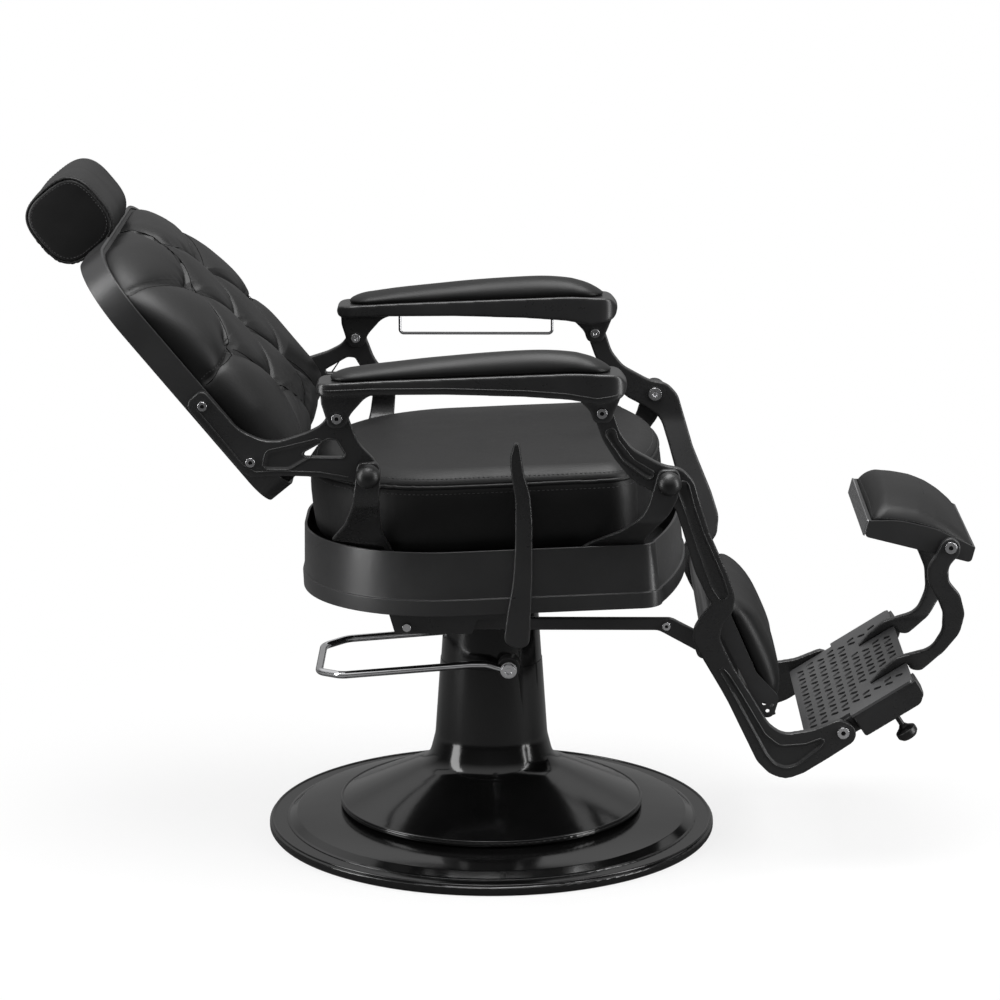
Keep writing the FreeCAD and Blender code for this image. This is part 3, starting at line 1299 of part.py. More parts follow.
doc.recompute()
bad = [o.Name for o in doc.Objects if "Invalid" in o.State or "Error" in o.State]
for made in nodes:
    shape = made.Shape
    if shape.isNull() or not shape.isValid() or not shape.Solids:
        bad.append(made.Label)
if bad:
    raise RuntimeError("not built: " + ", ".join(bad))
os.makedirs("parts", exist_ok=True)
for made in nodes:
    made.Shape.exportStep(f"parts/{made.Label}.step")
    box = made.Shape.BoundBox
    print(
        made.Label, len(made.Shape.Solids), "vol", round(made.Shape.Volume / 1000.0, 1),
        "x", round(box.XMin), round(box.XMax), "y", round(box.YMin), round(box.YMax), "z", round(box.ZMin),
        round(box.ZMax),
    )
print("nodes", len(nodes))
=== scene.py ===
"""Dressed model of a hydraulic barber chair: padded leather, black castings, chrome and a studio."""

import logging
import math
from collections.abc import Sequence
from dataclasses import dataclass
from enum import Enum

import bmesh
import bpy
import numpy as np
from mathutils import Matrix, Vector, noise
from mathutils.bvhtree import BVHTree


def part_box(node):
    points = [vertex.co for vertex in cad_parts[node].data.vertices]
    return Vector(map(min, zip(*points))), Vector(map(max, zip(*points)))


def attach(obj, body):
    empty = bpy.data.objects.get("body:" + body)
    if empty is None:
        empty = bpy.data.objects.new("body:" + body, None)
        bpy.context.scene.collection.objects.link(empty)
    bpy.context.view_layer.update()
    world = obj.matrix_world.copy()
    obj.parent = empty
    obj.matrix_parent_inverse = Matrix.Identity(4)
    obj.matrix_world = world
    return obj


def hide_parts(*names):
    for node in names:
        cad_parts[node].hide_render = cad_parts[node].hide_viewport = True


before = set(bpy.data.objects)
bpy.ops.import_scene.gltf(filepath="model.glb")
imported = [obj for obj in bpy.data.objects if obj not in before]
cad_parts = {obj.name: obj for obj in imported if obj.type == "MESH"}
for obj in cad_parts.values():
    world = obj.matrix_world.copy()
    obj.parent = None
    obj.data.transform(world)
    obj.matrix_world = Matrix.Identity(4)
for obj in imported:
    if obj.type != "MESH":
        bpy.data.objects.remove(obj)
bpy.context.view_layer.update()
MM = 0.001
SIDES = (("right", -1.0), ("left", 1.0))
LOG = logging.getLogger("barber_chair")

Colour = tuple[float, float, float, float]
Pair = tuple[float, float]
Triple = tuple[float, float, float]
Path = list[Vector]
Lines = Sequence[tuple[Path, bool]]
Socket = bpy.types.NodeSocket

# Points of a CAD mesh closer than this are one, in metres, and faces flatter than this are one face
WELD = 4e-6
FLAT = math.radians(0.5)
# A corner this near to straight, in radians, stays as it is, and a rounded one has this many steps
STRAIGHT = 0.004
ARC_STEPS = 12
# Rays that look for a side face start this far from the middle, and a bolt's head is this deep, in metres
OUTSIDE = 0.5
HEAD_DEPTH = 2e-4
# Beads on castings have a point at each step, in millimetres
BEAD_STEP = 3.0
WELT_SIDES = 10
STITCH_SIDES = 6
STITCH_RINGS = 4
SOCKET_SIDES = 6
# The range that holds most of a noise pattern
MIDDLE = (0.3, 0.7)
WHITE = (1.0, 1.0, 1.0, 1.0)
TINY = 1e-9


# Frames and small mesh tools


@dataclass(frozen=True)
class LeaningFrame:
    """A frame turned about the chair's cross axis, with its own coordinates in millimetres."""

    x: float
    z: float
    lean: float

    def at(self, along: float, across: float, up: float) -> Vector:
        """Gives a point of this frame in the chair's frame.

        Args:
            along: distance along the frame's front direction, mm.
            across: distance to the chair's left, mm.
            up: distance along the frame's upward direction, mm.

        Returns:
            The point in metres.
        """
        turn = math.radians(self.lean)
        x = self.x + along * math.cos(turn) - up * math.sin(turn)
        z = self.z + along * math.sin(turn) + up * math.cos(turn)
        return Vector((x, across, z)) * MM


SEAT = LeaningFrame(0.0, 393.0, 2.6)
BACK = LeaningFrame(-304.0, 553.0, 39.5)
CALF = LeaningFrame(295.6, 404.0, 24.0)
TOE = LeaningFrame(656.0, 462.5, -14.0)
ARM = LeaningFrame(0.0, 745.0, 1.6)


def new_object(name: str, mesh: bpy.types.Mesh) -> bpy.types.Object:
    """Links a new object for a mesh.

    Args:
        name: the object's name.
        mesh: its mesh.

    Returns:
        The object, at the origin.
    """
    made = bpy.data.objects.new(name, mesh)
    bpy.context.scene.collection.objects.link(made)
    return made


def plain(obj: bpy.types.Object, name: str) -> bpy.types.Object:
    """Turns an object with modifiers into a plain mesh object.

    Args:
        obj: the object, which is removed.
        name: the new object's name.

    Returns:
        The plain object.
    """
    graph = bpy.context.evaluated_depsgraph_get()
    graph.update()
    mesh = bpy.data.meshes.new_from_object(obj.evaluated_get(graph), depsgraph=graph)
    mesh.name = name
    bpy.data.objects.remove(obj)
    return new_object(name, mesh)


def merged_copy(node: str) -> bpy.types.Mesh:
    """Copies a CAD node's mesh and joins its loose triangles.

    Args:
        node: the node's name.

    Returns:
        A closed mesh with flat faces kept whole.
    """
    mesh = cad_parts[node].data.copy()
    mesh.materials.clear()
    work = bmesh.new()
    work.from_mesh(mesh)
    bmesh.ops.remove_doubles(work, verts=work.verts, dist=WELD)
    bmesh.ops.dissolve_limit(work, angle_limit=FLAT, verts=work.verts, edges=work.edges)
    work.to_mesh(mesh)
    work.free()
    return mesh


def ringed(name: str, *forms: Sequence[Sequence[Vector]]) -> bpy.types.Object:
    """Skins closed rings of equal count and closes both ends on their middles.

    Args:
        name: the object's name.
        forms: the rings of each form, from one end of it to the other.

    Returns:
        A closed mesh object with faces outwards.
    """
    points, faces = [], []
    for rings in forms:
        count, start = len(rings[0]), len(points)
        points.extend(p for ring in rings for p in ring)
        for level in range(len(rings) - 1):
            a = start + level * count
            b = a + count
            faces.extend((a + i, a + (i + 1) % count, b + (i + 1) % count, b + i) for i in range(count))
        for first, ring in ((start, rings[0]), (start + (len(rings) - 1) * count, rings[-1])):
            points.append(sum(ring, Vector()) / count)
            faces.extend((first + i, first + (i + 1) % count, len(points) - 1) for i in range(count))
    mesh = bpy.data.meshes.new(name)
    mesh.from_pydata(points, [], faces)
    work = bmesh.new()
    work.from_mesh(mesh)
    bmesh.ops.recalc_face_normals(work, faces=work.faces)
    work.to_mesh(mesh)
    work.free()
    smooth_faces(mesh)
    return new_object(name, mesh)


def search_tree(obj: bpy.types.Object) -> BVHTree:
    """Gives a search tree of an object's present surface."""
    mesh = obj.data
    return BVHTree.FromPolygons([v.co for v in mesh.vertices], [p.vertices[:] for p in mesh.polygons])


def cast_across(obj: bpy.types.Object, line: Sequence[Pair], side: float) -> Path:
    """Lays a line drawn in side view on a piece's outer face.

    Args:
        obj: the piece.
        line: points along and up, mm.
        side: -1 for the chair's right, 1 for its left.

    Returns:
        The points on the surface.
    """
    tree = search_tree(obj)
    made = []
    for x, z in line:
        hit, _, _, _ = tree.ray_cast(Vector((x * MM, side * OUTSIDE, z * MM)), Vector((0.0, -side, 0.0)))
        if hit is not None:
            made.append(hit)
    return made


def eased(line: Path, rounds: int) -> Path:
    """Evens out a line's small steps and keeps its ends.

    Args:
        line: the points.
        rounds: how often it is evened.

    Returns:
        The evened line.
    """
    for _ in range(rounds):
        inner = [(a + b * 2.0 + c) / 4.0 for a, b, c in zip(line, line[1:], line[2:])]
        line = [line[0], *inner, line[-1]]
    return line


def widened(loop: Sequence[tuple[float, ...]], by: float) -> list[Pair]:
    """Rounds a closed outline and moves it outwards by a distance.

    Args:
        loop: corners along and up, with an optional radius, mm.
        by: the distance, mm.

    Returns:
        Points at even steps.
    """
    line = rounded(loop, BEAD_STEP)
    count = len(line)
    area = sum(line[i - 1][0] * line[i][1] - line[i][0] * line[i - 1][1] for i in range(count))
    way = 1.0 if area > 0 else -1.0
    made = []
    for i, (x, z) in enumerate(line):
        before, after = line[i - 1], line[(i + 1) % count]
        run = Vector((after[0] - before[0], after[1] - before[1])).normalized()
        made.append((x + way * by * run.y, z - way * by * run.x))
    return made


def heads(node: str) -> list[Vector]:
    """Finds the outer ends of a node's cross bolts.

    Args:
        node: a node whose solids are bolts across the chair.

    Returns:
        The middle of each head's outer face.
    """
    work = bmesh.new()
    work.from_mesh(merged_copy(node))
    seen = set()
    made = []
    for first in work.verts:
        if first in seen:
            continue
        seen.add(first)
        group = [first]
        for vertex in group:
            for other in [edge.other_vert(vertex) for edge in vertex.link_edges]:
                if other not in seen:
                    seen.add(other)
                    group.append(other)
        near, far = min(v.co.y for v in group), max(v.co.y for v in group)
        out = near if -near > far - HEAD_DEPTH else far
        face = [v.co for v in group if abs(v.co.y - out) < HEAD_DEPTH]
        made.append(sum(face, Vector()) / len(face))
    work.free()
    return made


def smooth_faces(mesh: bpy.types.Mesh) -> None:
    """Shades every face of a mesh smoothly."""
    mesh.polygons.foreach_set("use_smooth", [True] * len(mesh.polygons))


def rounded(points: Sequence[tuple[float, ...]], step: float, steps: int = 0) -> list[Pair]:
    """Samples a closed outline with rounded corners at even steps.

    Args:
        points: corners as (a, b) or (a, b, radius).
        step: distance between samples.
        steps: number of samples, where that is fixed instead.

    Returns:
        The outline's points.
    """
    count = len(points)
    raw: list[Pair] = []
    for i, corner in enumerate(points):
        here = Vector(corner[:2])
        radius = corner[2] if len(corner) > 2 else 0.0
        before = Vector(points[i - 1][:2]) - here
        after = Vector(points[(i + 1) % count][:2]) - here
        reach = min(before.length, after.length)
        before.normalize()
        after.normalize()
        half = before.angle(after) / 2
        if radius <= 0 or half > math.pi / 2 - STRAIGHT:
            raw.append((here.x, here.y))
            continue
        back = min(radius / math.tan(half), 0.5 * reach)
        radius = back * math.tan(half)
        middle = (before + after).normalized()
        centre = here + middle * (radius / math.sin(half))
        start = here + before * back - centre
        end = here + after * back - centre
        for k in range(ARC_STEPS + 1):
            part = start.lerp(end, k / ARC_STEPS).normalized() * radius
            raw.append((centre.x + part.x, centre.y + part.y))
    return even(raw, step, True, steps)


def even(
    points: Sequence[tuple[float, ...]], step: float, closed: bool, count: int = 0
) -> list[tuple[float, ...]]:
    """Spaces the points of a line evenly.

    Args:
        points: the line's points, of any dimension.
        step: distance between the new points.
        closed: whether the line returns to its start.
        count: number of steps, where that is fixed instead.

    Returns:
        The new points.
    """
    line = [Vector(p) for p in points]
    if closed:
        line.append(line[0].copy())
    lengths = [0.0]
    for a, b in zip(line, line[1:]):
        lengths.append(lengths[-1] + (b - a).length)
    total = lengths[-1]
    count = count or max(int(round(total / step)), 3)
    made = []
    place = 0
    for k in range(count + (0 if closed else 1)):
        goal = total * k / count
        while place < len(lengths) - 2 and lengths[place + 1] < goal:
            place += 1
        run = lengths[place + 1] - lengths[place]
        share = (goal - lengths[place]) / run if run > 0 else 0.0
        made.append(tuple(line[place].lerp(line[place + 1], share)))
    return made


def rounded_box(low: Pair, high: Pair, radius: float, count: int) -> list[Pair]:
    """Samples a box with four equal round corners.

    Args:
        low: its lower corner.
        high: its upper corner.
        radius: the corners' radius.
        count: number of points.

    Returns:
        The outline's points.
    """
    corners = [(*low, radius), (high[0], low[1], radius), (*high, radius), (low[0], high[1], radius)]
    return rounded(corners, 0.0, count)


def quarter(middle: Pair, radius: float, start: float, steps: int) -> list[Pair]:
    """Samples a quarter turn.

    Args:
        middle: the turn's middle.
        radius: its radius.
        start: where it starts, degrees.
        steps: number of steps.

    Returns:
        The turn's points, with both ends.
    """
    angles = [math.radians(start + 90.0 * k / steps) for k in range(steps + 1)]
    return [(middle[0] + radius * math.cos(t), middle[1] + radius * math.sin(t)) for t in angles]


def around(count: int) -> list[float]:
    """Gives the angles of equal steps round a circle."""
    return [2 * math.pi * k / count for k in range(count)]


def level_at(line: Sequence[Pair], x: float) -> float:
    """Reads the height of a line of points at a place along it.

    Args:
        line: the points.
        x: the place along it.

    Returns:
        The height there.
    """
    for (x0, z0), (x1, z1) in zip(line, line[1:]):
        if x <= x1:
            break
    return z0 + (z1 - z0) * (x - x0) / (x1 - x0)


def rise(values: np.ndarray, start: float, run: float) -> np.ndarray:
    """Rises from 0 to 1 over a run of values, and stays level on both sides."""
    return np.clip((values - start) / run, 0.0, 1.0)


# Finishes


class NodeTree:
    """A node tree with short ways to add and join nodes."""

    def __init__(self, tree: bpy.types.NodeTree) -> None:
        """Takes the tree to work on."""
        self.tree = tree

    def add(self, kind: str, **settings: object) -> bpy.types.Node:
        """Adds a node.

        Args:
            kind: the node's type.
            settings: properties to set on it.

        Returns:
            The node.
        """
        node = self.tree.nodes.new(kind)
        for key, value in settings.items():
            setattr(node, key, value)
        return node

    def link(self, source: Socket, target: Socket) -> None:
        """Joins an output to an input."""
        self.tree.links.new(source, target)

    def mapped(self, source: Socket, known: Pair, wanted: Pair, ends: str = "LINEAR") -> Socket:
        """Maps a value from one range to another.

        Args:
            source: the value.
            known: the range it comes in.
            wanted: the range to give.
            ends: how it runs between the two.

        Returns:
            The mapped socket.
        """
        node = self.add("ShaderNodeMapRange", interpolation_type=ends)
        for name, value in zip(("From Min", "From Max", "To Min", "To Max"), known + wanted):
            node.inputs[name].default_value = value
        self.link(source, node.inputs["Value"])
        return node.outputs["Result"]

    def maths(self, operation: str, first: Socket, second: Socket) -> Socket:
        """Joins two values by an operation.

        Args:
            operation: the operation's name.
            first: the first value.
            second: the second value.

        Returns:
            The result's socket.
        """
        node = self.add("ShaderNodeMath", operation=operation)
        self.link(first, node.inputs[0])
        self.link(second, node.inputs[1])
        return node.outputs["Value"]

    def either(self, share: Socket, first: Socket, second: Socket) -> Socket:
        """Mixes two shaders.

        Args:
            share: the second one's share.
            first: the first shader.
            second: the second shader.

        Returns:
            The mixed shader's socket.
        """
        node = self.add("ShaderNodeMixShader")
        self.link(share, node.inputs["Fac"])
        self.link(first, node.inputs[1])
        self.link(second, node.inputs[2])
        return node.outputs["Shader"]


class NodeSheet(NodeTree):
    """A material's node tree, with the patterns that the finishes share."""

    def __init__(self, name: str) -> None:
        """Starts a material of one name on its surface shader.

        Args:
            name: its name.
        """
        self.material = bpy.data.materials.new(name)
        self.material.use_nodes = True
        super().__init__(self.material.node_tree)
        self.shader = self.tree.nodes["Principled BSDF"]
        self.place = self.add("ShaderNodeTexCoord").outputs["Object"]

    def stretched(self, scale: Triple) -> Socket:
        """Gives object coordinates scaled on each axis.

        Args:
            scale: the scale on x, y and z.

        Returns:
            The scaled vector's socket.
        """
        mapping = self.add("ShaderNodeMapping")
        mapping.inputs["Scale"].default_value = scale
        self.link(self.place, mapping.inputs["Vector"])
        return mapping.outputs["Vector"]

    def noise(self, scale: float, detail: float, vector: Socket | None = None) -> Socket:
        """Adds a noise pattern.

        Args:
            scale: cells to the metre.
            detail: octaves of finer noise.
            vector: coordinates, the object's own if none.

        Returns:
            The pattern's socket.
        """
        node = self.add("ShaderNodeTexNoise")
        node.inputs["Scale"].default_value = scale
        node.inputs["Detail"].default_value = detail
        self.link(vector or self.place, node.inputs["Vector"])
        return node.outputs["Fac"]

    def tint(self, source: Socket, dark: Colour, light: Colour) -> None:
        """Varies the base colour between two tones with a pattern.

        Args:
            source: the pattern.
            dark: the tone where it is low.
            light: the tone where it is high.
        """
        ramp = self.add("ShaderNodeValToRGB")
        for element, position, colour in zip(ramp.color_ramp.elements, MIDDLE, (dark, light)):
            element.position = position
            element.color = colour
        self.link(source, ramp.inputs["Fac"])
        self.link(ramp.outputs["Color"], self.shader.inputs["Base Color"])

    def roughen(self, source: Socket, rough: Pair) -> None:
        """Varies the roughness between two values with a pattern."""
        self.link(self.mapped(source, MIDDLE, rough), self.shader.inputs["Roughness"])

    def mixed(self, first: Socket, second: Socket, share: float) -> Socket:
        """Blends two patterns.

        Args:
            first: the first pattern.
            second: the second pattern.
            share: weight of the second.

        Returns:
            The blend's socket.
        """
        node = self.add("ShaderNodeMix")
        node.inputs["Factor"].default_value = share
        self.link(first, node.inputs["A"])
        self.link(second, node.inputs["B"])
        return node.outputs["Result"]

    def relief(self, source: Socket, strength: float, depth: float) -> None:
        """Raises the surface with a pattern.

        Args:
            source: the pattern.
            strength: its strength, 0 to 1.
            depth: the height of its full range, m.
        """
        bump = self.add("ShaderNodeBump")
        bump.inputs["Strength"].default_value = strength
        bump.inputs["Distance"].default_value = depth
        self.link(source, bump.inputs["Height"])
        self.link(bump.outputs["Normal"], self.shader.inputs["Normal"])

    def set(self, **values: float | Colour) -> None:
        """Sets constant values on the shader's own sockets, with underscores for spaces."""
        for key, value in values.items():
            self.shader.inputs[key.replace("_", " ").title().replace("Ior", "IOR")].default_value = value


@dataclass(frozen=True)
class Leather:
    """Black hide with pebbled grain and a soft sheen."""

    name: str
    dark: Colour = (0.0018, 0.0018, 0.0019, 1.0)
    light: Colour = (0.0046, 0.0046, 0.0047, 1.0)
    grain: float = 640.0
    depth: float = 0.0004
    strength: float = 0.32
    rough: Pair = (0.38, 0.52)
    streak: Triple = (1.0, 1.0, 1.0)
    shine: float = 0.32
    pore_scale: float = 1.9
    patch: float = 14.0

    def material(self) -> bpy.types.Material:
        """Builds the hide's nodes.

        Returns:
            The material.
        """
        sheet = NodeSheet(self.name)
        pebbles = sheet.add("ShaderNodeTexVoronoi", feature="DISTANCE_TO_EDGE")
        pebbles.inputs["Scale"].default_value = self.grain
        sheet.link(sheet.place, pebbles.inputs["Vector"])
        pores = sheet.noise(self.grain * self.pore_scale, detail=3.0, vector=sheet.stretched(self.streak))
        grain = sheet.mixed(pebbles.outputs["Distance"], pores, share=0.55)
        sheet.relief(grain, self.strength, self.depth)
        broad = sheet.noise(self.patch, detail=4.0)
        sheet.tint(sheet.mixed(broad, pores, share=0.35), self.dark, self.light)
        sheet.roughen(sheet.mixed(broad, pores, share=0.4), self.rough)
        sheet.set(specular_ior_level=self.shine)
        return sheet.material


@dataclass(frozen=True)
class Paint:
    """Black paint or powder coat on a casting or pressing."""

    name: str
    dark: Colour
    light: Colour
    rough: Pair
    peel: float = 900.0
    strength: float = 0.015
    depth: float = 0.0004
    coat: float = 0.0
    coat_rough: float = 0.08
    patch: float = 9.0
    wear: float = 160.0

    def material(self) -> bpy.types.Material:
        """Builds the paint's nodes.

        Returns:
            The material.
        """
        sheet = NodeSheet(self.name)
        peel = sheet.noise(self.peel, detail=2.0)
        sheet.relief(peel, self.strength, self.depth)
        broad = sheet.noise(self.patch, detail=5.0)
        sheet.tint(broad, self.dark, self.light)
        sheet.roughen(sheet.mixed(broad, sheet.noise(self.wear, detail=3.0), share=0.4), self.rough)
        sheet.set(coat_weight=self.coat, coat_roughness=self.coat_rough)
        return sheet.material


@dataclass(frozen=True)
class Metal:
    """Bare or plated metal with faint rubbing marks."""

    name: str
    dark: Colour
    light: Colour
    rough: Pair
    rub: Triple = (1.0, 1.0, 1.0)
    strength: float = 0.05
    depth: float = 0.0002
    marks: float = 420.0
    patch: float = 30.0

    def material(self) -> bpy.types.Material:
        """Builds the metal's nodes.

        Returns:
            The material.
        """
        sheet = NodeSheet(self.name)
        rubbed = sheet.noise(self.marks, detail=4.0, vector=sheet.stretched(self.rub))
        sheet.relief(rubbed, self.strength, self.depth)
        sheet.tint(sheet.noise(self.patch, detail=3.0), self.dark, self.light)
        sheet.roughen(rubbed, self.rough)
        sheet.set(metallic=1.0)
        return sheet.material


@dataclass(frozen=True)
class Moulding:
    """Rubber, plastic, thread or board: a matt body with a fine texture; also the near-black painted shade in
    creases and bolt sockets.
    """

    name: str
    dark: Colour
    light: Colour
    rough: Pair
    texture: float = 500.0
    strength: float = 0.2
    depth: float = 0.0004
    run: Triple = (1.0, 1.0, 1.0)
    shine: float = 0.5
    patch: float = 18.0

    def material(self) -> bpy.types.Material:
        """Builds the moulding's nodes.

        Returns:
            The material.
        """
        sheet = NodeSheet(self.name)
        fine = sheet.noise(self.texture, detail=3.0, vector=sheet.stretched(self.run))
        sheet.relief(fine, self.strength, self.depth)
        sheet.set(specular_ior_level=self.shine)
        broad = sheet.noise(self.patch, detail=3.0)
        sheet.tint(sheet.mixed(fine, broad, share=0.5), self.dark, self.light)
        sheet.roughen(fine, self.rough)
        return sheet.material


def grey(value: float) -> Colour:
    """Gives a neutral colour of one value."""
    return (value, value, value * 1.02, 1.0)


class Finish(Enum):
    """The chair's finishes, each named for the record's slot."""

    HIDE = "leather"
    SEAT_HIDE = "seat_leather"
    SATIN = "satin_casting"
    SHEET = "painted_steel"
    GLOSS = "gloss_black"
    BALL = "ball_black"
    CHROME = "chrome"
    STEEL = "steel"
    TREAD = "tread_grey"
    RUBBER = "rubber_mat"
    PLY = "plywood"
    THREAD = "thread"
    # Painted shade: near-black cords along the back's creases
    CREASE_SHADE = "fold"
    # Painted shade: near-black hexagons in bolt sockets
    SOCKET_SHADE = "recess"


class Palette:
    """Every finish of the chair, built once."""

    def __init__(self) -> None:
        """Builds the materials."""
        makers = {
            Finish.HIDE: Leather("black_hide"),
            Finish.SEAT_HIDE: Leather("seat_hide", streak=(0.12, 1.0, 1.0), rough=(0.40, 0.56)),
            Finish.SATIN: Paint("satin_casting", grey(0.016), grey(0.026), (0.24, 0.34)),
            Finish.SHEET: Paint("painted_steel", grey(0.022), grey(0.034), (0.26, 0.36)),
            Finish.GLOSS: Paint(
                "gloss_black", grey(0.003), grey(0.006), (0.11, 0.17), strength=0.01, coat=0.1,
            ),
            Finish.BALL: Paint("ball_black", grey(0.004), grey(0.007), (0.36, 0.44), strength=0.01),
            Finish.CHROME: Metal("chrome", grey(0.72), grey(0.82), (0.05, 0.14)),
            Finish.STEEL: Metal(
                "bright_steel", grey(0.55), grey(0.66), (0.20, 0.30), rub=(4.0, 0.08, 4.0), strength=0.003,
            ),
            Finish.TREAD: Paint("tread_grey", grey(0.055), grey(0.08), (0.30, 0.42), strength=0.1),
            Finish.RUBBER: Moulding("rubber_mat", grey(0.014), grey(0.024), (0.72, 0.88)),
            Finish.PLY: Moulding(
                "black_board", grey(0.010), grey(0.020), (0.6, 0.75), texture=90.0, run=(0.1, 1.0, 3.0),
            ),
            Finish.THREAD: Moulding("thread", grey(0.022), grey(0.045), (0.5, 0.7), texture=2600.0),
            # Painted shade: near-black, almost shineless cords that stand for the shade in the back's creases
            Finish.CREASE_SHADE: Moulding(
                "painted_crease_shade", grey(0.001), grey(0.003), (0.8, 0.95), texture=1800.0, shine=0.02,
            ),
            # Painted shade: near-black, almost shineless hexagons that stand for the shade inside bolt
            # sockets
            Finish.SOCKET_SHADE: Moulding(
                "painted_socket_shade", grey(0.002), grey(0.006), (0.5, 0.7), texture=1800.0, shine=0.1,
            ),
        }
        self.made = {finish: maker.material() for finish, maker in makers.items()}

    def dress(self, obj: bpy.types.Object, finish: Finish, body: str) -> bpy.types.Object:
        """Gives a piece its finish and the body it moves with.

        Args:
            obj: the piece.
            finish: its finish.
            body: the body that carries it.

        Returns:
            The piece.
        """
        obj.data.materials.clear()
        obj.data.materials.append(self.made[finish])
        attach(obj, body)
        LOG.info("%s on %s: %d faces", obj.name, body, len(obj.data.polygons))
        return obj

    def keep(self, node: str, finish: Finish) -> None:
        """Gives a CAD node that stays its finish.

        Args:
            node: the node's name.
            finish: its finish.
        """
        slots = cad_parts[node].material_slots
        for place in slots:
            place.link = "OBJECT"
            place.material = self.made[finish]
        if not slots:
            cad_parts[node].data.materials.append(self.made[finish])
        LOG.info("%s keeps its CAD shape in %s", node, finish.value)


# Geometry Nodes: welts, stitches, painted crease shade and painted shade in bolt sockets


class TrimTree(NodeTree):
    """A Geometry Nodes tree that follows a line, with named inputs for its sizes."""

    def __init__(self, name: str, inputs: dict[str, float]) -> None:
        """Starts the tree with its line, sizes and material inputs.

        Args:
            name: its name.
            inputs: its sizes by name, m.
        """
        super().__init__(bpy.data.node_groups.new(name, "GeometryNodeTree"))
        face = self.tree.interface
        face.new_socket(name="Line", in_out="INPUT", socket_type="NodeSocketGeometry")
        face.new_socket(name="Made", in_out="OUTPUT", socket_type="NodeSocketGeometry")
        self.keys: dict[str, str] = {}
        for key, value in inputs.items():
            socket = face.new_socket(name=key, in_out="INPUT", socket_type="NodeSocketFloat")
            socket.default_value = value
            self.keys[key] = socket.identifier
        finish = face.new_socket(name="Finish", in_out="INPUT", socket_type="NodeSocketMaterial")
        self.keys["Finish"] = finish.identifier
        self.inlet = self.add("NodeGroupInput")
        self.outlet = self.add("NodeGroupOutput")

    def close(self, made: Socket, round_off: bool = True) -> None:
        """Ends the tree with realized, finished geometry, smooth where asked.

        Args:
            made: the geometry to end with.
            round_off: whether it is shaded smoothly.
        """
        real = self.add("GeometryNodeRealizeInstances")
        smooth = self.add("GeometryNodeSetShadeSmooth")
        smooth.inputs["Shade Smooth"].default_value = round_off
        paint = self.add("GeometryNodeSetMaterial")
        self.link(made, real.inputs["Geometry"])
        self.link(real.outputs["Geometry"], smooth.inputs["Geometry"])
        self.link(smooth.outputs["Geometry"], paint.inputs["Geometry"])
        self.link(self.inlet.outputs["Finish"], paint.inputs["Material"])
        self.link(paint.outputs["Geometry"], self.outlet.inputs["Made"])

    def run(
        self, name: str, lines: Lines, sizes: dict[str, float], finish: bpy.types.Material
    ) -> bpy.types.Object:
        """Runs the tree along lines and gives the result as a plain mesh.

        Args:
            name: the piece's name.
            lines: each line's points, and whether it closes on itself.
            sizes: values for the tree's named inputs.
            finish: the piece's material.

        Returns:
            The finished piece.
        """
        points: list[Vector] = []
        edges: list[tuple[int, int]] = []
        for line, closed in lines:
            first = len(points)
            points.extend(line)
            edges.extend((first + i, first + i + 1) for i in range(len(line) - 1))
            if closed:
                edges.append((len(points) - 1, first))
        mesh = bpy.data.meshes.new(name)
        mesh.from_pydata(points, edges, [])
        holder = new_object(name + "_line", mesh)
        modifier = holder.modifiers.new("trim", "NODES")
        modifier.node_group = self.tree
        for key, value in sizes.items():
            modifier[self.keys[key]] = value
        modifier[self.keys["Finish"]] = finish
        return plain(holder, name)


class WeltTree(TrimTree):
    """A round cord welt along a line."""

    def __init__(self) -> None:
        """Builds the tree."""
        super().__init__("welt_along_line", {"Radius": 0.003})
        curve = self.add("GeometryNodeMeshToCurve")
        ring = self.add("GeometryNodeCurvePrimitiveCircle")
        ring.inputs["Resolution"].default_value = WELT_SIDES
        tube = self.add("GeometryNodeCurveToMesh")
        tube.inputs["Fill Caps"].default_value = True
        self.link(self.inlet.outputs["Line"], curve.inputs["Mesh"])
        self.link(self.inlet.outputs["Radius"], ring.inputs["Radius"])
        self.link(curve.outputs["Curve"], tube.inputs["Curve"])
        self.link(ring.outputs["Curve"], tube.inputs["Profile Curve"])
        self.close(tube.outputs["Mesh"])


class StitchTree(TrimTree):
    """Single stitches at an even pitch along a line."""

    def __init__(self) -> None:
        """Builds the tree."""
        super().__init__("stitches_along_line", {"Pitch": 0.006, "Length": 0.004, "Radius": 0.0006})
        curve = self.add("GeometryNodeMeshToCurve")
        spaced = self.add("GeometryNodeResampleCurve", mode="LENGTH")
        ball = self.add("GeometryNodeMeshUVSphere")
        ball.inputs["Segments"].default_value = STITCH_SIDES
        ball.inputs["Rings"].default_value = STITCH_RINGS
        ball.inputs["Radius"].default_value = 1.0
        half = self.add("ShaderNodeMath", operation="MULTIPLY")
        half.inputs[1].default_value = 0.5
        size = self.add("ShaderNodeCombineXYZ")
        tangent = self.add("GeometryNodeInputTangent")
        turn = self.add("FunctionNodeAlignRotationToVector", axis="X")
        copies = self.add("GeometryNodeInstanceOnPoints")
        self.link(self.inlet.outputs["Line"], curve.inputs["Mesh"])
        self.link(curve.outputs["Curve"], spaced.inputs["Curve"])
        self.link(self.inlet.outputs["Pitch"], spaced.inputs["Length"])
        self.link(self.inlet.outputs["Length"], half.inputs[0])
        self.link(half.outputs["Value"], size.inputs["X"])
        self.link(self.inlet.outputs["Radius"], size.inputs["Y"])
        self.link(self.inlet.outputs["Radius"], size.inputs["Z"])
        self.link(tangent.outputs["Tangent"], turn.inputs["Vector"])
        self.link(spaced.outputs["Curve"], copies.inputs["Points"])
        self.link(ball.outputs["Mesh"], copies.inputs["Instance"])
        self.link(turn.outputs["Rotation"], copies.inputs["Rotation"])
        self.link(size.outputs["Vector"], copies.inputs["Scale"])
        self.close(copies.outputs["Instances"])


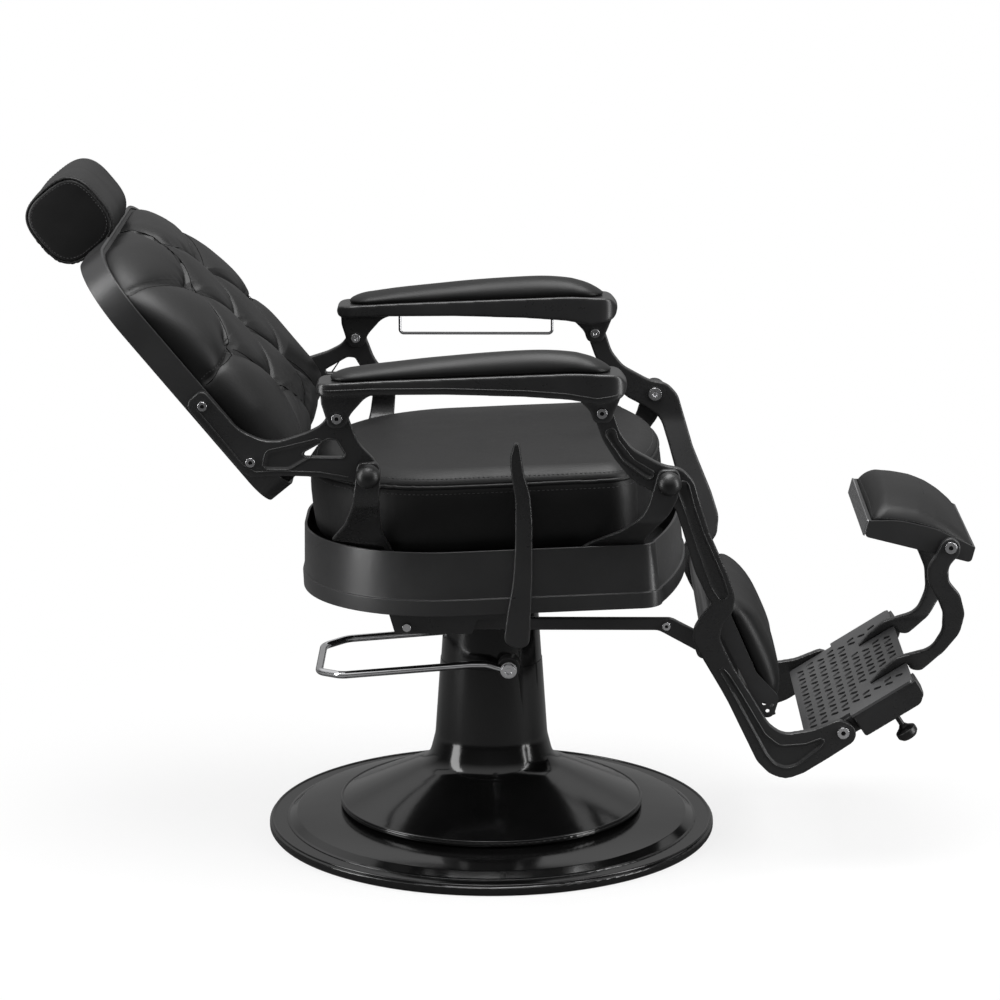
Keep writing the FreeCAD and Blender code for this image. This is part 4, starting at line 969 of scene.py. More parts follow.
class SocketShadeTree(TrimTree):
    """Flat near-black hexagons on bolt heads that face across the chair: painted shade standing for their
    sockets.
    """

    def __init__(self) -> None:
        """Builds the tree."""
        super().__init__("shade_sockets_on_points", {"Radius": 0.003, "Depth": 0.0006})
        six = self.add("GeometryNodeMeshCylinder", fill_type="NGON")
        six.inputs["Vertices"].default_value = SOCKET_SIDES
        copies = self.add("GeometryNodeInstanceOnPoints")
        copies.inputs["Rotation"].default_value = (math.pi / 2, 0.0, 0.0)
        self.link(self.inlet.outputs["Radius"], six.inputs["Radius"])
        self.link(self.inlet.outputs["Depth"], six.inputs["Depth"])
        self.link(self.inlet.outputs["Line"], copies.inputs["Points"])
        self.link(six.outputs["Mesh"], copies.inputs["Instance"])
        self.close(copies.outputs["Instances"], False)


# Castings and pressings


@dataclass(frozen=True)
class Casting:
    """A CAD solid shown with softened edges: a broken edge, or a sand casting where it has a voxel size."""

    node: str
    body: str
    finish: Finish
    edge: float = 1.0
    voxel: float = 0.0
    rounds: int = 8
    crease: float = 31.0
    segments: int = 2
    weight: int = 60
    fettling: float = 0.5

    def build(self, palette: Palette) -> bpy.types.Object:
        """Makes the softened copy that stands for the node.

        Args:
            palette: the chair's finishes.

        Returns:
            The piece.
        """
        work = new_object(self.node + "_work", merged_copy(self.node))
        smooth_faces(work.data)
        if self.voxel:
            self.soften(work)
        else:
            self.chamfer(work)
        made = plain(work, self.node + "_cast")
        palette.dress(made, self.finish, self.body)
        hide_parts(self.node)
        return made

    def soften(self, work: bpy.types.Object) -> None:
        """Gives a sand casting its evenly rounded edges and soft panels.

        Args:
            work: the copy of the node, which gets the modifiers.
        """
        cast = work.modifiers.new("cast", "REMESH")
        cast.mode = "VOXEL"
        cast.voxel_size = self.voxel * MM
        cast.use_smooth_shade = True
        fettle = work.modifiers.new("fettle", "SMOOTH")
        fettle.factor = self.fettling
        fettle.iterations = self.rounds

    def chamfer(self, work: bpy.types.Object) -> None:
        """Breaks a turned or pressed piece's edges.

        Args:
            work: the copy of the node, which gets the modifiers.
        """
        bevel = work.modifiers.new("edge", "BEVEL")
        bevel.width = self.edge * MM
        bevel.segments = self.segments
        bevel.limit_method = "ANGLE"
        bevel.angle_limit = math.radians(self.crease)
        bevel.use_clamp_overlap = True
        bevel.miter_outer = "MITER_ARC"
        weigh = work.modifiers.new("flat", "WEIGHTED_NORMAL")
        weigh.keep_sharp = False
        weigh.weight = self.weight


# Padded leather and its trims


@dataclass
class Pad:
    """A closed leather pad that stands for a CAD cushion."""

    node: str
    name: str
    body: str
    fill: float
    obj: bpy.types.Object | None = None

    def make(
        self, rings: Sequence[Sequence[Vector]], wave: Pair, palette: Palette, finish: Finish = Finish.HIDE
    ) -> None:
        """Skins the pad over rings and puts it in its node's place.

        Args:
            rings: closed rings of equal count.
            wave: slow unevenness of the filling, in waves to the metre and their height, mm.
            palette: the chair's finishes.
            finish: the hide it is covered in.
        """
        self.obj = ringed(self.name, rings)
        scale, height = wave
        normals = [v.normal.copy() for v in self.obj.data.vertices]
        for vertex, normal in zip(self.obj.data.vertices, normals):
            vertex.co += normal * noise.noise(vertex.co * scale) * height * MM
        palette.dress(self.obj, finish, self.body)
        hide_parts(self.node)

    def onto(self, line: Sequence[Vector], lift: float = 0.0) -> Path:
        """Lays a line on the pad.

        Args:
            line: points near the surface.
            lift: height over the surface, mm.

        Returns:
            The points on the surface.
        """
        tree = search_tree(self.obj)
        made = []
        for point in line:
            near, normal, _, _ = tree.find_nearest(point)
            made.append(near + normal * lift * MM)
        return made


@dataclass
class Trims:
    """The trees that make welts, stitches and the painted shade of bolt sockets, shared by all
    sub-assemblies.
    """

    palette: Palette
    welt: WeltTree
    stitch: StitchTree
    # Lays the painted shade of bolt sockets
    socket: SocketShadeTree
    # Thickness of the dark hexagons of painted socket shade, mm
    depth: float = 0.5

    def run(
        self, tree: TrimTree, name: str, lines: Lines, sizes: dict[str, float], finish: Finish, body: str
    ) -> None:
        """Makes one piece of trim and dresses it.

        Args:
            tree: the tree that makes it.
            name: the piece's name.
            lines: points and closed state of each line.
            sizes: the tree's named inputs, mm.
            finish: its finish.
            body: the body that carries it.
        """
        metres = {key: value * MM for key, value in sizes.items()}
        self.palette.dress(tree.run(name, lines, metres, self.palette.made[finish]), finish, body)

    def shade_sockets(self, node: str, body: str, radius: float) -> None:
        """Lays flat near-black hexagons on the heads of a node's bolts: painted shade for their sockets.

        Args:
            node: the node's name.
            body: the body that carries them.
            radius: a socket's radius, mm.
        """
        sizes = {"Radius": radius, "Depth": self.depth}
        points = [([point], False) for point in heads(node)]
        self.run(self.socket, node + "_shade_sockets", points, sizes, Finish.SOCKET_SHADE, body)

    def sew(self, name: str, lines: Lines, body: str, pitch: float, length: float, radius: float) -> None:
        """Sews stitches along lines.

        Args:
            name: the piece's name.
            lines: points and closed state of each line.
            body: the body that carries it.
            pitch: distance from stitch to stitch, mm.
            length: a stitch's length, mm.
            radius: the thread's radius, mm.
        """
        sizes = {"Pitch": pitch, "Length": length, "Radius": radius}
        self.run(self.stitch, name, lines, sizes, Finish.THREAD, body)

    def pipe(self, name: str, lines: Lines, body: str, radius: float, finish: Finish) -> None:
        """Lays a round welt or bead along lines.

        Args:
            name: the piece's name.
            lines: points and closed state of each line.
            body: the body that carries it.
            radius: the welt's radius, mm.
            finish: its finish.
        """
        self.run(self.welt, name, lines, {"Radius": radius}, finish, body)


# Sub-assemblies


@dataclass
class Pedestal:
    """Base, column, pump, pedal and ram."""

    castings: tuple[Casting, ...] = (
        Casting("base_rim", "base", Finish.GLOSS, 2.0),
        Casting("base_disc", "base", Finish.GLOSS, 1.2),
        Casting("column_bell", "base", Finish.GLOSS, 1.5),
        Casting("column_collar", "base", Finish.GLOSS, 1.2),
        Casting("pedal_bosses", "base", Finish.SHEET, 1.0),
        Casting("pump_gland", "base", Finish.STEEL, 0.8),
        Casting("pump_pedal", "pedal", Finish.CHROME, 0.6),
        Casting("pedal_bolts", "pedal", Finish.CHROME, 0.6),
    )
    kept: tuple[tuple[str, Finish], ...] = (
        ("pump_cylinder", Finish.SHEET), ("base_mat", Finish.RUBBER), ("pump_ram", Finish.CHROME),
    )
    lips: tuple[tuple[str, float], ...] = (("column_bell", 1.8), ("base_rim", 5.0))
    lip_bead: float = 1.9
    lip_points: int = 240
    above: float = 0.5

    def lip(self, obj: bpy.types.Object, radius: float) -> tuple[Path, bool]:
        """Gives a closed ring on a turned piece's upper face.

        Args:
            obj: the piece.
            radius: the ring's radius, m.

        Returns:
            The ring's points and its closed state.
        """
        start, down = Vector((radius, 0.0, self.above)), Vector((0.0, 0.0, -1.0))
        top, _, _, _ = search_tree(obj).ray_cast(start, down)
        turns = around(self.lip_points)
        return [Vector((radius * math.cos(t), radius * math.sin(t), top.z)) for t in turns], True

    def build(self, palette: Palette, trims: Trims) -> None:
        """Dresses the pedestal's castings, chrome and mat, and beads its lips.

        Args:
            palette: the chair's finishes.
            trims: the trees that make its trims.
        """
        made = {casting.node: casting.build(palette) for casting in self.castings}
        lips = [self.lip(made[node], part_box(node)[1][0] - inset * MM) for node, inset in self.lips]
        trims.pipe("base_lips", lips, "base", self.lip_bead, Finish.GLOSS)
        for node, finish in self.kept:
            palette.keep(node, finish)


@dataclass
class SeatUnit:
    """Seat cushion, apron, carrier, uprights, lock and lever, in millimetres.

    The wall holds the inset and height of each ring, the seam and the rows an inset, a height and a lift over
    the leather, and the stitch a pitch, a length and a radius.
    """

    half: float = 236.0
    rear: float = -254.0
    front: float = 214.0
    bow: float = 40.0
    rear_round: float = 208.0
    front_round: float = 44.0
    crown: float = 208.0
    crown_power: float = 2.6
    count: int = 520
    levels: int = 64
    wave: Pair = (9.0, 1.1)
    fill: float = 0.9
    wall: tuple[Pair, ...] = (
        (16.0, 80.0), (7.0, 83.0), (4.0, 90.0), (2.6, 100.0), (1.2, 112.0), (0.2, 126.0), (-0.6, 140.0),
        (-0.6, 152.0), (0.2, 163.0), (1.6, 171.0), (3.0, 175.6), (4.6, 178.0), (4.0, 180.6), (5.2, 184.0),
        (8.0, 187.6), (12.0, 191.0), (17.0, 194.0), (23.0, 196.6), (30.0, 199.0),
    )
    row_step: float = 2.5
    seam: Triple = (4.6, 178.0, 0.8)
    welt: float = 3.0
    rows: tuple[Triple, ...] = ((10.0, 189.5, 0.15), (1.0, 169.0, 0.15))
    stitch: Triple = (6.5, 4.2, 0.55)

    pivots: tuple[Pair, ...] = ((-166.0, 605.0), (247.5, 595.0))
    ball: float = 17.0
    ball_neck: float = 10.0
    ball_in: float = 296.0
    ball_out: float = 320.0
    ball_tip: float = 0.02
    ball_rings: int = 32
    ball_points: int = 48

    castings: tuple[Casting, ...] = (
        Casting("seat_apron", "seat", Finish.SHEET, 2.0),
        Casting("seat_frame", "seat", Finish.SHEET, 1.0),
        Casting("swivel_plate", "seat", Finish.SHEET, 1.0),
        Casting("recline_lock", "seat", Finish.SHEET, 1.0),
        Casting("rear_upright_right", "seat", Finish.SATIN, voxel=1.6, rounds=10),
        Casting("front_upright_right", "seat", Finish.SATIN, voxel=1.6, rounds=10),
        Casting("rear_upright_left", "seat", Finish.SATIN, voxel=1.6, rounds=10),
        Casting("front_upright_left", "seat", Finish.SATIN, voxel=1.6, rounds=10),
        Casting("pivot_washers", "seat", Finish.STEEL, 0.5),
        Casting("pivot_bolts", "seat", Finish.CHROME, 0.5),
        Casting("recline_lever", "lever", Finish.SATIN, voxel=1.3, rounds=30),
        Casting("push_bar", "push", Finish.SHEET, voxel=1.5, rounds=6),
        Casting("push_pins", "push", Finish.CHROME, 0.5),
    )
    kept: tuple[tuple[str, Finish], ...] = (("seat_board", Finish.PLY), ("lever_shaft", Finish.STEEL))
    pin_socket_shade: float = 2.6

    def outline(self, inset: float, step: float, count: int = 0) -> list[Pair]:
        """Gives the cushion's plan.

        Args:
            inset: distance inside the edge, mm.
            step: distance between points, mm.
            count: number of points, where that is fixed instead.

        Returns:
            Points along and across.
        """
        half, rear, front = self.half - inset, self.rear + inset, self.front - inset
        corner, bend = self.front_round - inset, self.rear_round - inset
        reach = half - corner
        radius = (reach * reach + self.bow * self.bow) / (2 * self.bow)
        long, short = 2 * ARC_STEPS, ARC_STEPS
        raw = quarter((rear + bend, -half + bend), bend, 180.0, long)
        raw += quarter((front - corner, -half + corner), corner, 270.0, short)
        for k in range(1, long):
            y = -reach + 2 * reach * k / long
            raw.append((front + self.bow - radius + math.sqrt(radius * radius - y * y), y))
        raw += quarter((front - corner, half - corner), corner, 0.0, short)
        raw += quarter((rear + bend, half - bend), bend, 90.0, long)
        return even(raw, step, True, count)

    def row(self, pad: Pad, inset: float, up: float, lift: float) -> tuple[Path, bool]:
        """Lays a closed line round the cushion.

        Args:
            pad: the cushion.
            inset: distance inside the edge, mm.
            up: height in the seat's frame, mm.
            lift: height over the leather, mm.

        Returns:
            The line's points and its closed state.
        """
        return pad.onto([SEAT.at(x, y, up) for x, y in self.outline(inset, self.row_step)], lift), True

    def cushion(self, palette: Palette, trims: Trims) -> None:
        """Makes the boxed cushion with its welt and two rows of stitches.

        Args:
            palette: the chair's finishes.
            trims: the trees that make its trims.
        """
        pad = Pad("seat_cushion", "seat_leather", "seat", self.fill)
        rings = []
        for inset, up in self.wall:
            rings.append([SEAT.at(x, y, up) for x, y in self.outline(inset, 0.0, self.count)])
        rim, top = self.wall[-1]
        edge = self.outline(rim, 0.0, self.count)
        middle = (self.rear + self.front) / 2
        for k in range(1, self.levels):
            share = 1.0 - k / self.levels
            up = self.crown - (self.crown - top) * share ** self.crown_power
            rings.append([SEAT.at(middle + (x - middle) * share, y * share, up) for x, y in edge])
        pad.make(rings, self.wave, palette, Finish.SEAT_HIDE)
        trims.pipe("seat_welt", [self.row(pad, *self.seam)], "seat", self.welt, Finish.SEAT_HIDE)
        trims.sew("seat_stitches", [self.row(pad, *row) for row in self.rows], "seat", *self.stitch)

    def nut(self, x: float, z: float, side: float) -> list[Path]:
        """Gives the rings of one ball nut.

        Args:
            x: the pivot's place along the chair, mm.
            z: its height, mm.
            side: -1 for the chair's right, 1 for its left.

        Returns:
            Rings from the neck to the tip.
        """
        neck = math.asin(self.ball_neck / self.ball)
        profile = [(self.ball_in, self.ball_neck)]
        for k in range(self.ball_rings + 1):
            turn = neck + (math.pi - self.ball_tip - neck) * k / self.ball_rings
            profile.append((self.ball_out - self.ball * math.cos(turn), self.ball * math.sin(turn)))
        rings = []
        for across, radius in profile:
            ring = []
            for turn in around(self.ball_points):
                place = (x + radius * math.cos(turn), side * across, z + radius * math.sin(turn))
                ring.append(Vector(place) * MM)
            rings.append(ring)
        return rings

    def balls(self, palette: Palette) -> None:
        """Turns the ball nuts on the four main pivots.

        Args:
            palette: the chair's finishes.
        """
        nuts = [self.nut(x, z, side) for x, z in self.pivots for _, side in SIDES]
        made = palette.dress(ringed("ball_nuts_turned", *nuts), Finish.BALL, "seat")
        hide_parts("ball_nuts")

    def build(self, palette: Palette, trims: Trims) -> None:
        """Makes the cushion and dresses the seat's frame.

        Args:
            palette: the chair's finishes.
            trims: the trees that make its trims.
        """
        self.cushion(palette, trims)
        self.balls(palette)
        for casting in self.castings:
            casting.build(palette)
        for node, finish in self.kept:
            palette.keep(node, finish)
        trims.shade_sockets("push_pins", "push", self.pin_socket_shade)


@dataclass
class BackRest:
    """Tufted back cushion in its shell, with the brackets that carry it, in millimetres.

    The wall holds the inset, height over the shell and top corner radius of each ring. The depths hold the
    least depth, the gain at the ends and its power; the crease, pit and button a depth and a width. The pairs
    held, turned, thinned and upper are where a blend starts and over what run.
    """

    half: float = 282.5
    height: float = 412.0
    centre: float = 205.0
    low_round: float = 46.0
    least_round: float = 10.0
    count: int = 600
    levels: int = 86
    crest: float = 1.5
    wave: Pair = (13.0, 1.0)
    fill: float = 0.9
    tufts: tuple[Pair, ...] = (
        (0.0, 376.0), (-85.0, 288.0), (85.0, 288.0), (-180.0, 197.0), (0.0, 197.0), (180.0, 197.0),
        (-90.0, 106.0), (90.0, 106.0), (0.0, 30.0),
    )
    seams: tuple[tuple[int, int], ...] = (
        (0, 1), (0, 2), (1, 3), (1, 4), (2, 4), (2, 5), (3, 6), (4, 6), (4, 7), (5, 7), (6, 8), (7, 8),
    )
    pleats: tuple[tuple[int, float, float], ...] = (
        (0, 0.0, 430.0), (1, -288.0, 362.0), (2, 288.0, 362.0), (3, -290.0, 190.0), (5, 290.0, 190.0),
        (6, -220.0, -10.0), (7, 220.0, -10.0),
    )
    wall: tuple[Triple, ...] = (
        (16.0, 30.0, 96.0), (7.0, 31.0, 100.0), (5.0, 36.0, 104.0), (4.6, 43.0, 108.0), (5.2, 50.0, 114.0),
        (7.0, 57.0, 122.0), (10.0, 64.0, 132.0), (14.4, 70.5, 142.0), (20.0, 76.5, 152.0),
        (27.0, 82.0, 162.0), (35.5, 87.0, 172.0), (46.0, 91.0, 180.0), (58.0, 94.0, 186.0),
        (72.0, 96.4, 190.0), (88.0, 98.0, 190.0),
    )
    seam_bow: float = 7.0
    seam_depth: Triple = (5.0, 12.0, 2.0)
    pleat_depth: Triple = (4.0, 12.0, 1.4)
    valley_width: Pair = (15.0, 8.0)
    valley_power: float = 1.3
    crease: Pair = (3.0, 4.2)
    pit: Triple = (21.0, 21.0, 1.5)
    button: Pair = (5.0, 6.0)
    pooled: float = 0.22
    held: Pair = (36.0, 14.0)
    turned: Pair = (52.0, 34.0)
    thinned: Pair = (30.0, 68.0)
    upper: Pair = (200.0, 220.0)
    taper: Pair = (2.0, 22.0)

    fold_steps: int = 60
    fold_out: float = 94.0
    fold_from: int = 3
    fold_lift: float = -0.3
    fold_ease: int = 6
    # Radius of the near-black cords of painted shade along the creases, mm
    crease_shade_radius: float = 0.65
    pleat_drop: Pair = (46.0, 2.5)
    sewn_from: int = 12
    sewn_beside: float = 3.0
    sewn_lift: float = 0.05
    stitch: Triple = (5.0, 3.4, 0.4)

    borders: tuple[tuple[Triple, ...], ...] = (
        ((-312.0, 610.0, 6.0), (-276.0, 610.0, 8.0), (-226.0, 640.0, 8.0), (-232.0, 652.0, 8.0),
         (-275.0, 641.0, 20.0), (-306.0, 634.0, 8.0)),
        ((-264.0, 627.0, 3.0), (-197.0, 626.0, 3.0), (-211.0, 650.0, 3.0), (-222.0, 651.0, 3.0)),
    )
    lower_edge: tuple[Pair, ...] = (
        (-402.0, 694.0), (-339.0, 615.0), (-322.0, 605.0), (-294.0, 607.0), (-233.0, 605.0), (-194.0, 598.0),
    )
    ridge_out: float = 1.6
    ridge_bead: float = 1.2
    shell: Casting = Casting("back_shell", "back", Finish.SHEET, 3.0)
    screws: Casting = Casting("back_screws", "back", Finish.CHROME, 0.5)
    screw_socket_shade: float = 2.8

    def reach(self, inset: float, top_round: float, turn: float) -> Pair:
        """Gives the cushion's edge in one direction from its middle.

        Args:
            inset: distance inside the shell's outline, mm.
            top_round: radius of the top corners, mm.
            turn: direction from across towards up, radians.

        Returns:
            The point across and up, mm.
        """
        c, s = math.cos(turn), math.sin(turn)
        half = self.half - inset
        high = self.height - inset - self.centre
        low = self.centre - inset
        side = high if s >= 0 else low
        radius = top_round if s >= 0 else max(self.low_round - inset, self.least_round)
        far = min(half / max(abs(c), TINY), side / max(abs(s), TINY))
        across, up = abs(c) * far, abs(s) * far
        if across > half - radius and up > side - radius:
            mid = Vector((half - radius, side - radius))
            along = mid.x * abs(c) + mid.y * abs(s)
            far = along + math.sqrt(max(along * along - mid.length_squared + radius * radius, 0.0))
            across, up = abs(c) * far, abs(s) * far
        return math.copysign(across, c), self.centre + math.copysign(up, s)

    def lines(self) -> list[tuple[Pair, Pair, bool]]:
        """Gives every sewn line on the front.

        Returns:
            The start and end of each line across and up, mm, and whether both are tufts.
        """
        made = [(self.tufts[a], self.tufts[b], True) for a, b in self.seams]
        made.extend((self.tufts[tuft], (y, z), False) for tuft, y, z in self.pleats)
        return made

    def drawn(self, across: np.ndarray, up: np.ndarray) -> np.ndarray:
        """Gives how far the tufts and sewn lines draw the leather in.

        Args:
            across: places across, mm.
            up: places up, mm.

        Returns:
            The depth at each place, mm.
        """
        valley = np.zeros_like(across)
        crease = np.zeros_like(across)
        for (y0, z0), (y1, z1), sewn in self.lines():
            length = math.hypot(y1 - y0, z1 - z0)
            run = ((across - y0) * (y1 - y0) + (up - z0) * (z1 - z0)) / (length * length)
            share = np.clip(run, 0.0, 1.0)
            bow = self.seam_bow * np.sin(math.pi * share) * (1.0 if y1 > y0 else -1.0) if sewn else 0.0
            gap = np.hypot(
                across - y0 - (y1 - y0) * share - bow * (z1 - z0) / length,
                up - z0 - (z1 - z0) * share + bow * (y1 - y0) / length,
            )
            ends = np.abs(2 * share - 1) if sewn else 1 - share
            least, gain, power = self.seam_depth if sewn else self.pleat_depth
            deep = least + gain * ends ** power
            wide = self.valley_width[0] + self.valley_width[1] * ends
            valley = np.maximum(valley, deep * np.exp(-((gap / wide) ** self.valley_power)))
            crease = np.maximum(crease, self.crease[0] * np.exp(-((gap / self.crease[1]) ** 2)))
        for y, z in self.tufts:
            gap = np.hypot(across - y, up - z)
            pit = self.pit[0] * np.exp(-((gap / self.pit[1]) ** self.pit[2]))
            pit = pit + self.button[0] * np.exp(-((gap / self.button[1]) ** 2))
            valley = np.maximum(valley, pit) + self.pooled * np.minimum(valley, pit)
        return valley + crease

    def form(self) -> list[Path]:
        """Gives the cushion's rings, drawn in at the tufts and thinner towards the top.

        Returns:
            Closed rings of equal count, from the board to the middle of the front.
        """
        turns = [2 * math.pi * (i + 0.5) / self.count for i in range(self.count)]
        levels = []
        for inset, x, top_round in self.wall:
            levels.append([(x, *self.reach(inset, top_round, turn)) for turn in turns])
        edge = levels[-1]
        for k in range(1, self.levels):
            share = 1.0 - k / self.levels
            x = edge[0][0] + self.crest * (1 - share ** 2)
            levels.append([(x, y * share, self.centre + (z - self.centre) * share) for _, y, z in edge])
        out, across, up = np.moveaxis(np.array(levels), 2, 0)
        pull = self.drawn(across, up) * rise(out, *self.held)
        over = rise(out, *self.turned)
        slide = pull * (1.0 - over) / np.maximum(np.hypot(across, up - self.centre), 1.0)
        high = rise(up, *self.upper)
        thin = (self.taper[0] + self.taper[1] * high * high) * rise(out, *self.thinned)
        moved = (out - (thin + pull * over), across - across * slide, up - (up - self.centre) * slide)
        return [[BACK.at(*point) for point in level] for level in np.stack(moved, axis=2).tolist()]

    def fold(self, start: Pair, end: Pair, tufted: bool) -> list[Triple]:
        """Gives the points of one sewn line over the front.

        Args:
            start: the tuft it starts from, across and up, mm.
            end: its other end.
            tufted: whether that is a tuft too, or the line is a pleat that runs over the edge.

        Returns:
            Points in the back's frame, mm.
        """
        (y0, z0), (y1, z1) = start, end
        length = math.hypot(y1 - y0, z1 - z0)
        way = 1.0 if y1 > y0 else -1.0
        made = []
        for k in range(self.fold_steps + 1):
            share = k / self.fold_steps
            bow = self.seam_bow * math.sin(math.pi * share) * way if tufted else 0.0
            drop = 0.0 if tufted else self.pleat_drop[0] * share ** self.pleat_drop[1]
            made.append((
                self.fold_out - drop, y0 + (y1 - y0) * share + bow * (z1 - z0) / length,
                z0 + (z1 - z0) * share - bow * (y1 - y0) / length,
            ))
        return made

    def cushion(self, palette: Palette, trims: Trims) -> None:
        """Makes the deep-tufted cushion, near-black cords of painted shade along its creases and the stitches
        along its pleats.

        Args:
            palette: the chair's finishes.
            trims: the trees that make its trims.
        """
        pad = Pad("back_cushion", "back_leather", "back", self.fill)
        pad.make(self.form(), self.wave, palette)
        sewn, crease_shades = [], []
        for start, end, tufted in self.lines():
            fold = self.fold(start, end, tufted)
            laid = pad.onto([BACK.at(*point) for point in fold[self.fold_from:]], self.fold_lift)
            crease_shades.append((eased(laid, self.fold_ease), False))
            if not tufted:
                beside = [BACK.at(x, y, z + self.sewn_beside) for x, y, z in fold[self.sewn_from:]]
                sewn.append((pad.onto(beside, self.sewn_lift), False))
        # Painted shade: dark cords half sunk into the leather along each crease stand for the shade in it
        trims.pipe("back_crease_shade", crease_shades, "back", self.crease_shade_radius, Finish.CREASE_SHADE)
        trims.sew("back_stitches", sewn, "back", *self.stitch)

    def build(self, palette: Palette, trims: Trims) -> None:
        """Makes the cushion and dresses the shell and brackets.

        Args:
            palette: the chair's finishes.
            trims: the trees that make its trims.
        """
        self.cushion(palette, trims)
        self.shell.build(palette)
        palette.keep("back_board", Finish.PLY)
        for word, side in SIDES:
            made = Casting("back_bracket_" + word, "back", Finish.SATIN, voxel=1.5, rounds=7).build(palette)
            lines = [(cast_across(made, widened(loop, self.ridge_out), side), True) for loop in self.borders]
            lines.append((cast_across(made, even(self.lower_edge, BEAD_STEP, False), side), False))
            trims.pipe("bracket_ridges_" + word, lines, "back", self.ridge_bead, Finish.SATIN)
        self.screws.build(palette)
        trims.shade_sockets("back_screws", "back", self.screw_socket_shade)


@dataclass
class HeadRest:
    """Head cushion on its sliding bar, in millimetres.

    The edge holds the scale and inset of the rings at an end, and the rows the same for the stitches.
    """

    half: float = 95.0
    middle: Pair = (10.0, 470.0)
    reach: Pair = (53.5, 55.5)
    power: float = 3.0
    count: int = 200
    wave: Pair = (16.0, 0.7)
    fill: float = 0.95
    panel_steps: int = 16
    panel_scale: Pair = (0.04, 0.90)
    panel_crown: Triple = (1.5, 2.6, 3.0)
    edge: tuple[Pair, ...] = (
        (0.955, 3.2), (0.972, 4.6), (0.986, 3.4), (1.0, 4.6), (1.008, 8.0), (1.012, 14.0),
    )
    wrap_steps: int = 28
    wrap_scale: Pair = (1.012, 0.008)
    wrap_in: float = 16.0
    welt_at: Triple = (0.975, 3.0, 0.4)
    welt: float = 2.2
    rows: tuple[Pair, ...] = ((0.88, -3.0), (1.02, 11.0))
    row_lift: float = 0.1
    stitch: Triple = (5.0, 3.4, 0.45)
    bar: Casting = Casting("head_bar", "headrest", Finish.STEEL, 1.0)

    def face(self, scale: float, across: float) -> Path:
        """Gives the outline of an end face.

        Args:
            scale: size against the full face.
            across: place across the chair, mm.

        Returns:
            Points in the chair's frame.
        """
        made = []
        for turn in around(self.count):
            c, s = math.cos(turn), math.sin(turn)
            size = scale / (abs(c) ** self.power + abs(s) ** self.power) ** (1 / self.power)
            out, up = self.middle[0] + self.reach[0] * size * c, self.middle[1] + self.reach[1] * size * s
            made.append(BACK.at(out, across, up))
        return made

    def stations(self) -> list[Pair]:
        """Lists the rings from the right end to the left.

        Returns:
            The scale of each ring against the full end face, and its place across, mm.
        """
        half, steps, wraps = self.half, self.panel_steps, self.wrap_steps
        rise_by, fall, power = self.panel_crown
        near = []
        for k in range(steps + 1):
            scale = self.panel_scale[0] + self.panel_scale[1] * k / steps
            near.append((scale, half + rise_by - fall * (k / steps) ** power))
        near += [(scale, half - inset) for scale, inset in self.edge]
        for k in range(wraps + 1):
            scale = self.wrap_scale[0] + self.wrap_scale[1] * math.sin(math.pi * k / wraps)
            near.append((scale, half - self.wrap_in - (2 * half - 2 * self.wrap_in) * k / (2 * wraps)))
        return [(scale, -across) for scale, across in near] + near[-2::-1]

    def cushion(self, palette: Palette, trims: Trims) -> None:
        """Makes the block with its two end panels, their welts and stitches.

        Args:
            palette: the chair's finishes.
            trims: the trees that make its trims.
        """
        pad = Pad("head_cushion", "head_leather", "headrest", self.fill)
        pad.make([self.face(scale, across) for scale, across in self.stations()], self.wave, palette)
        scale, inset, lift = self.welt_at
        welts, rows = [], []
        for _, side in SIDES:
            welts.append((pad.onto(self.face(scale, side * (self.half - inset)), lift), True))
            for size, depth in self.rows:
                rows.append((pad.onto(self.face(size, side * (self.half - depth)), self.row_lift), True))
        trims.pipe("head_welt", welts, "headrest", self.welt, Finish.HIDE)
        trims.sew("head_stitches", rows, "headrest", *self.stitch)

    def build(self, palette: Palette, trims: Trims) -> None:
        """Makes the cushion, its welts and stitches, and dresses the bar."""
        self.cushion(palette, trims)
        self.bar.build(palette)


